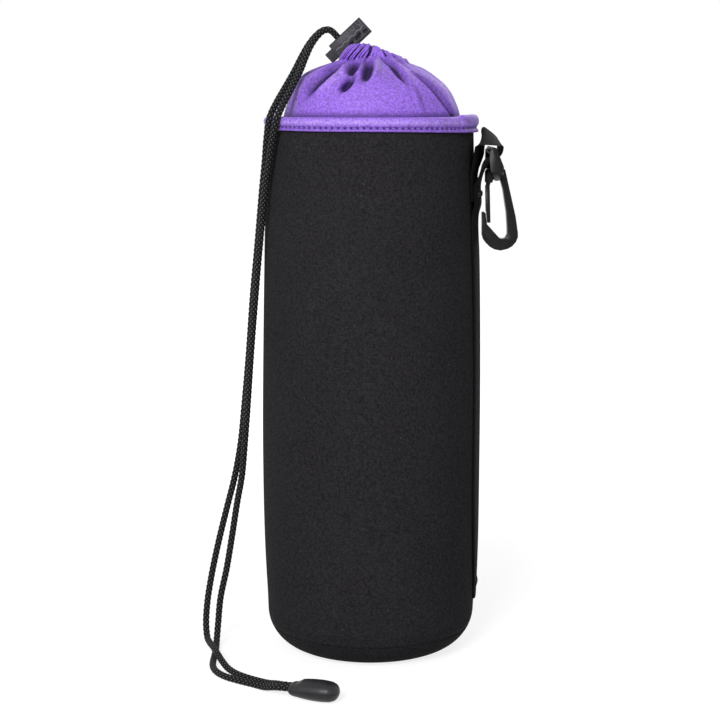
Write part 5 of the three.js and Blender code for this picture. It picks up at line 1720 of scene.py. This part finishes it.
class LENSPOUCH_OT_strap(PieceOperator, bpy.types.Operator):
    """Model the side strap with its loop, its edges and its bar tacks"""

    bl_idname = "lens_pouch.strap"
    bl_label = "Side strap"

    def line(self, thick):
        """Middle line of the webbing as [distance from the axis, height, share of wrap]."""
        stand = GAP + thick / 2
        rows = []
        for i in range(14):
            z = STRAP_FOOT + (i / 13) ** 1.6 * (BAR_Z - STRAP_RUN_TOP - STRAP_FOOT)
            rows.append((float(body_radius(z)) + stand, z, 1))
        for drop in STRAP_OVER:
            rows.append((float(body_radius(BAR_Z - drop)) + stand + thick + 0.15, BAR_Z - drop, 1))
        bend = CROSSBAR_R + GAP + thick / 2
        rows += [(BAR_R + out * bend, BAR_Z + up * bend, wrap) for out, up, wrap in LOOP_ROWS]
        for drop in STRAP_TUCKED:
            rows.append((float(body_radius(BAR_Z - drop)) + stand, BAR_Z - drop, 1))
        return rows

    def make(self, sizes, finish):
        width, thick = sizes.strap_width / MM, sizes.strap_thickness / MM
        line = curve_through(self.line(thick), 0.55)
        line[:, 2] = np.clip(line[:, 2], 0, 1)
        cells = 50
        across = (np.arange(cells + 1) / cells - 0.5) * width
        along = np.gradient(line[:, :2], axis=0)
        along /= np.linalg.norm(along, axis=1)[:, None]
        r, z, wrap = line[:, :1], line[:, 1:2], line[:, 2:3]
        share = np.maximum(0, (STRAP_DRIFT_TOP - z) / (STRAP_DRIFT_TOP - STRAP_FOOT))
        angle = STRAP_DRIFT * share**2 + across[None, :] / r * wrap
        falling = (np.arange(len(z)) > z[:, 0].argmax())[:, None]
        lean = np.clip((z - BAR_Z + 8) / 6, 0, 1) * np.clip((BAR_Z + LOOP_TOP - z) / 5, 0, 1)
        lean = lean * falling
        r = r + LOOP_LEAN * lean * (0.5 + across[None, :] / width)
        flat = across[None, :] * (1 - wrap)
        reach = distance_along(line[:, :2])
        rib = np.abs(np.sin(math.pi * across / RIB_PITCH + 0.4))[None, :]
        pick = np.abs(np.sin(math.pi * reach / PICK_PITCH))[:, None]
        edge = np.clip((width / 2 - np.abs(across)) / 0.9, 0, 1)[None, :] ** 0.5
        half = (thick / 2) * (0.55 + 0.45 * edge) - WEAVE_RELIEF / 2 + WEAVE_RELIEF * rib * pick
        faces = []
        for side in (1, -1):
            out = r + side * half * along[:, 1:]
            turn = angle + STRAP_TURN
            x = out * np.cos(turn)
            y = (out * wrap + BAR_R * (1 - wrap)) * np.sin(turn) + flat
            height = z - side * half * along[:, :1] + 0 * turn
            slack = np.clip((height - BAR_Z - LOOP_DROOP_FROM) / (LOOP_TOP - LOOP_DROOP_FROM), 0, 1.1)
            height = height - LOOP_DROOP * slack * (0.5 - across[None, :] / width)
            faces.append(np.stack([x, y, height], -1))
        rings = np.concatenate([faces[0], faces[1][:, ::-1]], axis=1)
        around = np.concatenate([across + width, 2 * width + across, [3 * width]])
        piece = skin("strap_webbing", rings, reach, around)
        smooth_by_angle(piece, 60)
        webbing = material(webbing_finish)
        finish_piece(piece, "strap_webbing", "pouch", webbing, ["side_strap"])
        thread = material(thread_finish, "black_thread", BLACK_THREAD)
        for z, layers, name, old in (
            (TACK_TOP_Z, 2, "tack_upper", "strap_tack_top"),
            (TACK_FOOT_Z, 1, "tack_lower", "strap_tack_base"),
        ):
            self.tack(z, layers, thick, name, old, thread)

    def tack(self, z, layers, thick, name, old, thread):
        """A dense zigzag of thread across the strap, over two straight rows."""
        r = float(body_radius(z)) + layers * (GAP + thick) + 0.32
        share = max(0, (STRAP_DRIFT_TOP - z) / (STRAP_DRIFT_TOP - STRAP_FOOT))
        middle = STRAP_DRIFT * share**2
        half, count, length, thickness = TACK_ZIGZAG
        angle = middle + np.linspace(-half, half, count) / r
        out, around = side_directions(angle)
        slopes = np.where(np.arange(count) % 2 == 0, 1, -1)
        directions = around * 0.3 * slopes[:, None] + np.array((0, 0, 1.0))
        zigzag = stitch_row(name, side_place(r, angle, float(z)), directions, out, length, thickness)
        bars = []
        half, count, length, thickness = TACK_ROW
        angle = middle + np.linspace(-half, half, count) / r
        out, around = side_directions(angle)
        for shift in (-TACK_ROW_SHIFT, TACK_ROW_SHIFT):
            places = side_place(r - 0.12, angle, float(z) + shift)
            bars.append(stitch_row(name + "_bar", places, around, out, length, thickness))
        piece = join([zigzag, *bars])
        finish_piece(piece, name, "pouch", thread, [old])


class LENSPOUCH_OT_clip(PieceOperator, bpy.types.Operator):
    """Model the snap hook and its gate"""

    bl_idname = "lens_pouch.clip"
    bl_label = "Snap hook"

    def make(self, sizes, finish):
        plastic = material(plastic_finish, "hook_plastic", tuple(finish.clip), *HOOK_PLASTIC)
        for node_name, name, body, width in (
            ("clip_frame", "hook_body", "clip", 0.5), ("clip_gate", "hook_gate", "gate", 0.25),
        ):
            piece = copy_of_node(node_name, name)
            bevel(piece, width, 3, 24)
            smooth_by_angle(piece, 40)
            finish_piece(piece, name, body, plastic, [node_name])


def seen_directly(tree):
    """1 for rays that show the background itself: from the camera, a reflection or through glass."""
    path = node(tree, "ShaderNodeLightPath").outputs
    reflected = maths(tree, "MAXIMUM", path["Is Glossy Ray"], path["Is Transmission Ray"])
    return maths(tree, "MAXIMUM", path["Is Camera Ray"], reflected)


class LENSPOUCH_OT_stage(PieceOperator, bpy.types.Operator):
    """Make the pale floor and the soft lights"""

    bl_idname = "lens_pouch.stage"
    bl_label = "Floor and lights"

    def make(self, sizes, finish):
        stage = bpy.context.scene.lens_pouch_stage
        self.floor()
        self.world(stage.ambient)
        for name, place, target, size, power in LIGHTS:
            self.light(name, place, target, size, getattr(stage, power))

    def floor(self):
        deselect()
        bpy.ops.mesh.primitive_circle_add(vertices=96, radius=FLOOR_R, fill_type="NGON", location=(0, 0, 0))
        floor = bpy.context.object
        floor.name = "floor"
        made, tree, shader, place, _ = new_material("pale_floor")
        set_shader(shader, base_color=(0.35, 0.35, 0.35, 1), roughness=0.9, specular_ior_level=0.1)
        distance = node(tree, "ShaderNodeVectorMath", {0: place}, operation="LENGTH").outputs["Value"]
        far = ramp(tree, distance, 0.1, 0.5, 0.8, 1.0)
        seen = seen_directly(tree)
        tree.links.new(maths(tree, "MULTIPLY", seen, far), shader.inputs["Emission Strength"])
        set_shader(shader, emission_color=(1, 1, 1, 1))
        floor.data.materials.append(made)

    def world(self, strength):
        world = bpy.data.worlds.new("studio")
        world.use_nodes = True
        tree = world.node_tree
        background = tree.nodes["Background"]
        seen = seen_directly(tree)
        tree.links.new(ramp(tree, seen, 0.0, 1.0, strength, 1.0), background.inputs["Strength"])
        background.inputs["Color"].default_value = (1, 1, 1, 1)
        bpy.context.scene.world = world

    def light(self, name, place, target, size, power):
        data = bpy.data.lights.new(name, "AREA")
        data.size = size
        data.energy = power
        lamp = bpy.data.objects.new(name, data)
        lamp.location = place
        lamp.rotation_euler = (Vector(target) - Vector(place)).to_track_quat("-Z", "Y").to_euler()
        bpy.context.scene.collection.objects.link(lamp)


class LENSPOUCH_PT_panel(bpy.types.Panel):
    """Lists the pieces of the lens pouch and their settings"""

    bl_idname = "LENSPOUCH_PT_panel"
    bl_label = "Lens pouch"
    bl_space_type = "VIEW_3D"
    bl_region_type = "UI"
    bl_category = "Lens pouch"

    def draw(self, context):
        scene = context.scene
        for settings in (scene.lens_pouch, scene.lens_pouch_finish, scene.lens_pouch_stage):
            box = self.layout.box()
            for key in settings.bl_rna.properties.keys():
                if key not in ("rna_type", "name"):
                    box.prop(settings, key)
        for operator in OPERATORS:
            self.layout.operator(operator.bl_idname)


OPERATORS = (
    LENSPOUCH_OT_camera, LENSPOUCH_OT_cords, LENSPOUCH_OT_body, LENSPOUCH_OT_binding, LENSPOUCH_OT_collar,
    LENSPOUCH_OT_lock, LENSPOUCH_OT_strap, LENSPOUCH_OT_clip, LENSPOUCH_OT_stage,
)
CLASSES = (LensPouchSizes, LensPouchFinish, LensPouchStage, *OPERATORS, LENSPOUCH_PT_panel)


def register():
    for item in CLASSES:
        bpy.utils.register_class(item)
    bpy.types.Scene.lens_pouch = bpy.props.PointerProperty(type=LensPouchSizes)
    bpy.types.Scene.lens_pouch_finish = bpy.props.PointerProperty(type=LensPouchFinish)
    bpy.types.Scene.lens_pouch_stage = bpy.props.PointerProperty(type=LensPouchStage)


def unregister():
    del bpy.types.Scene.lens_pouch_stage
    del bpy.types.Scene.lens_pouch_finish
    del bpy.types.Scene.lens_pouch
    for item in reversed(CLASSES):
        bpy.utils.unregister_class(item)


def main():
    register()
    bpy.context.scene.view_settings.view_transform = "Standard"
    for operator in OPERATORS:
        group_name, call = operator.bl_idname.split(".")
        getattr(getattr(bpy.ops, group_name), call)()


if __name__ == "__main__":
    main()
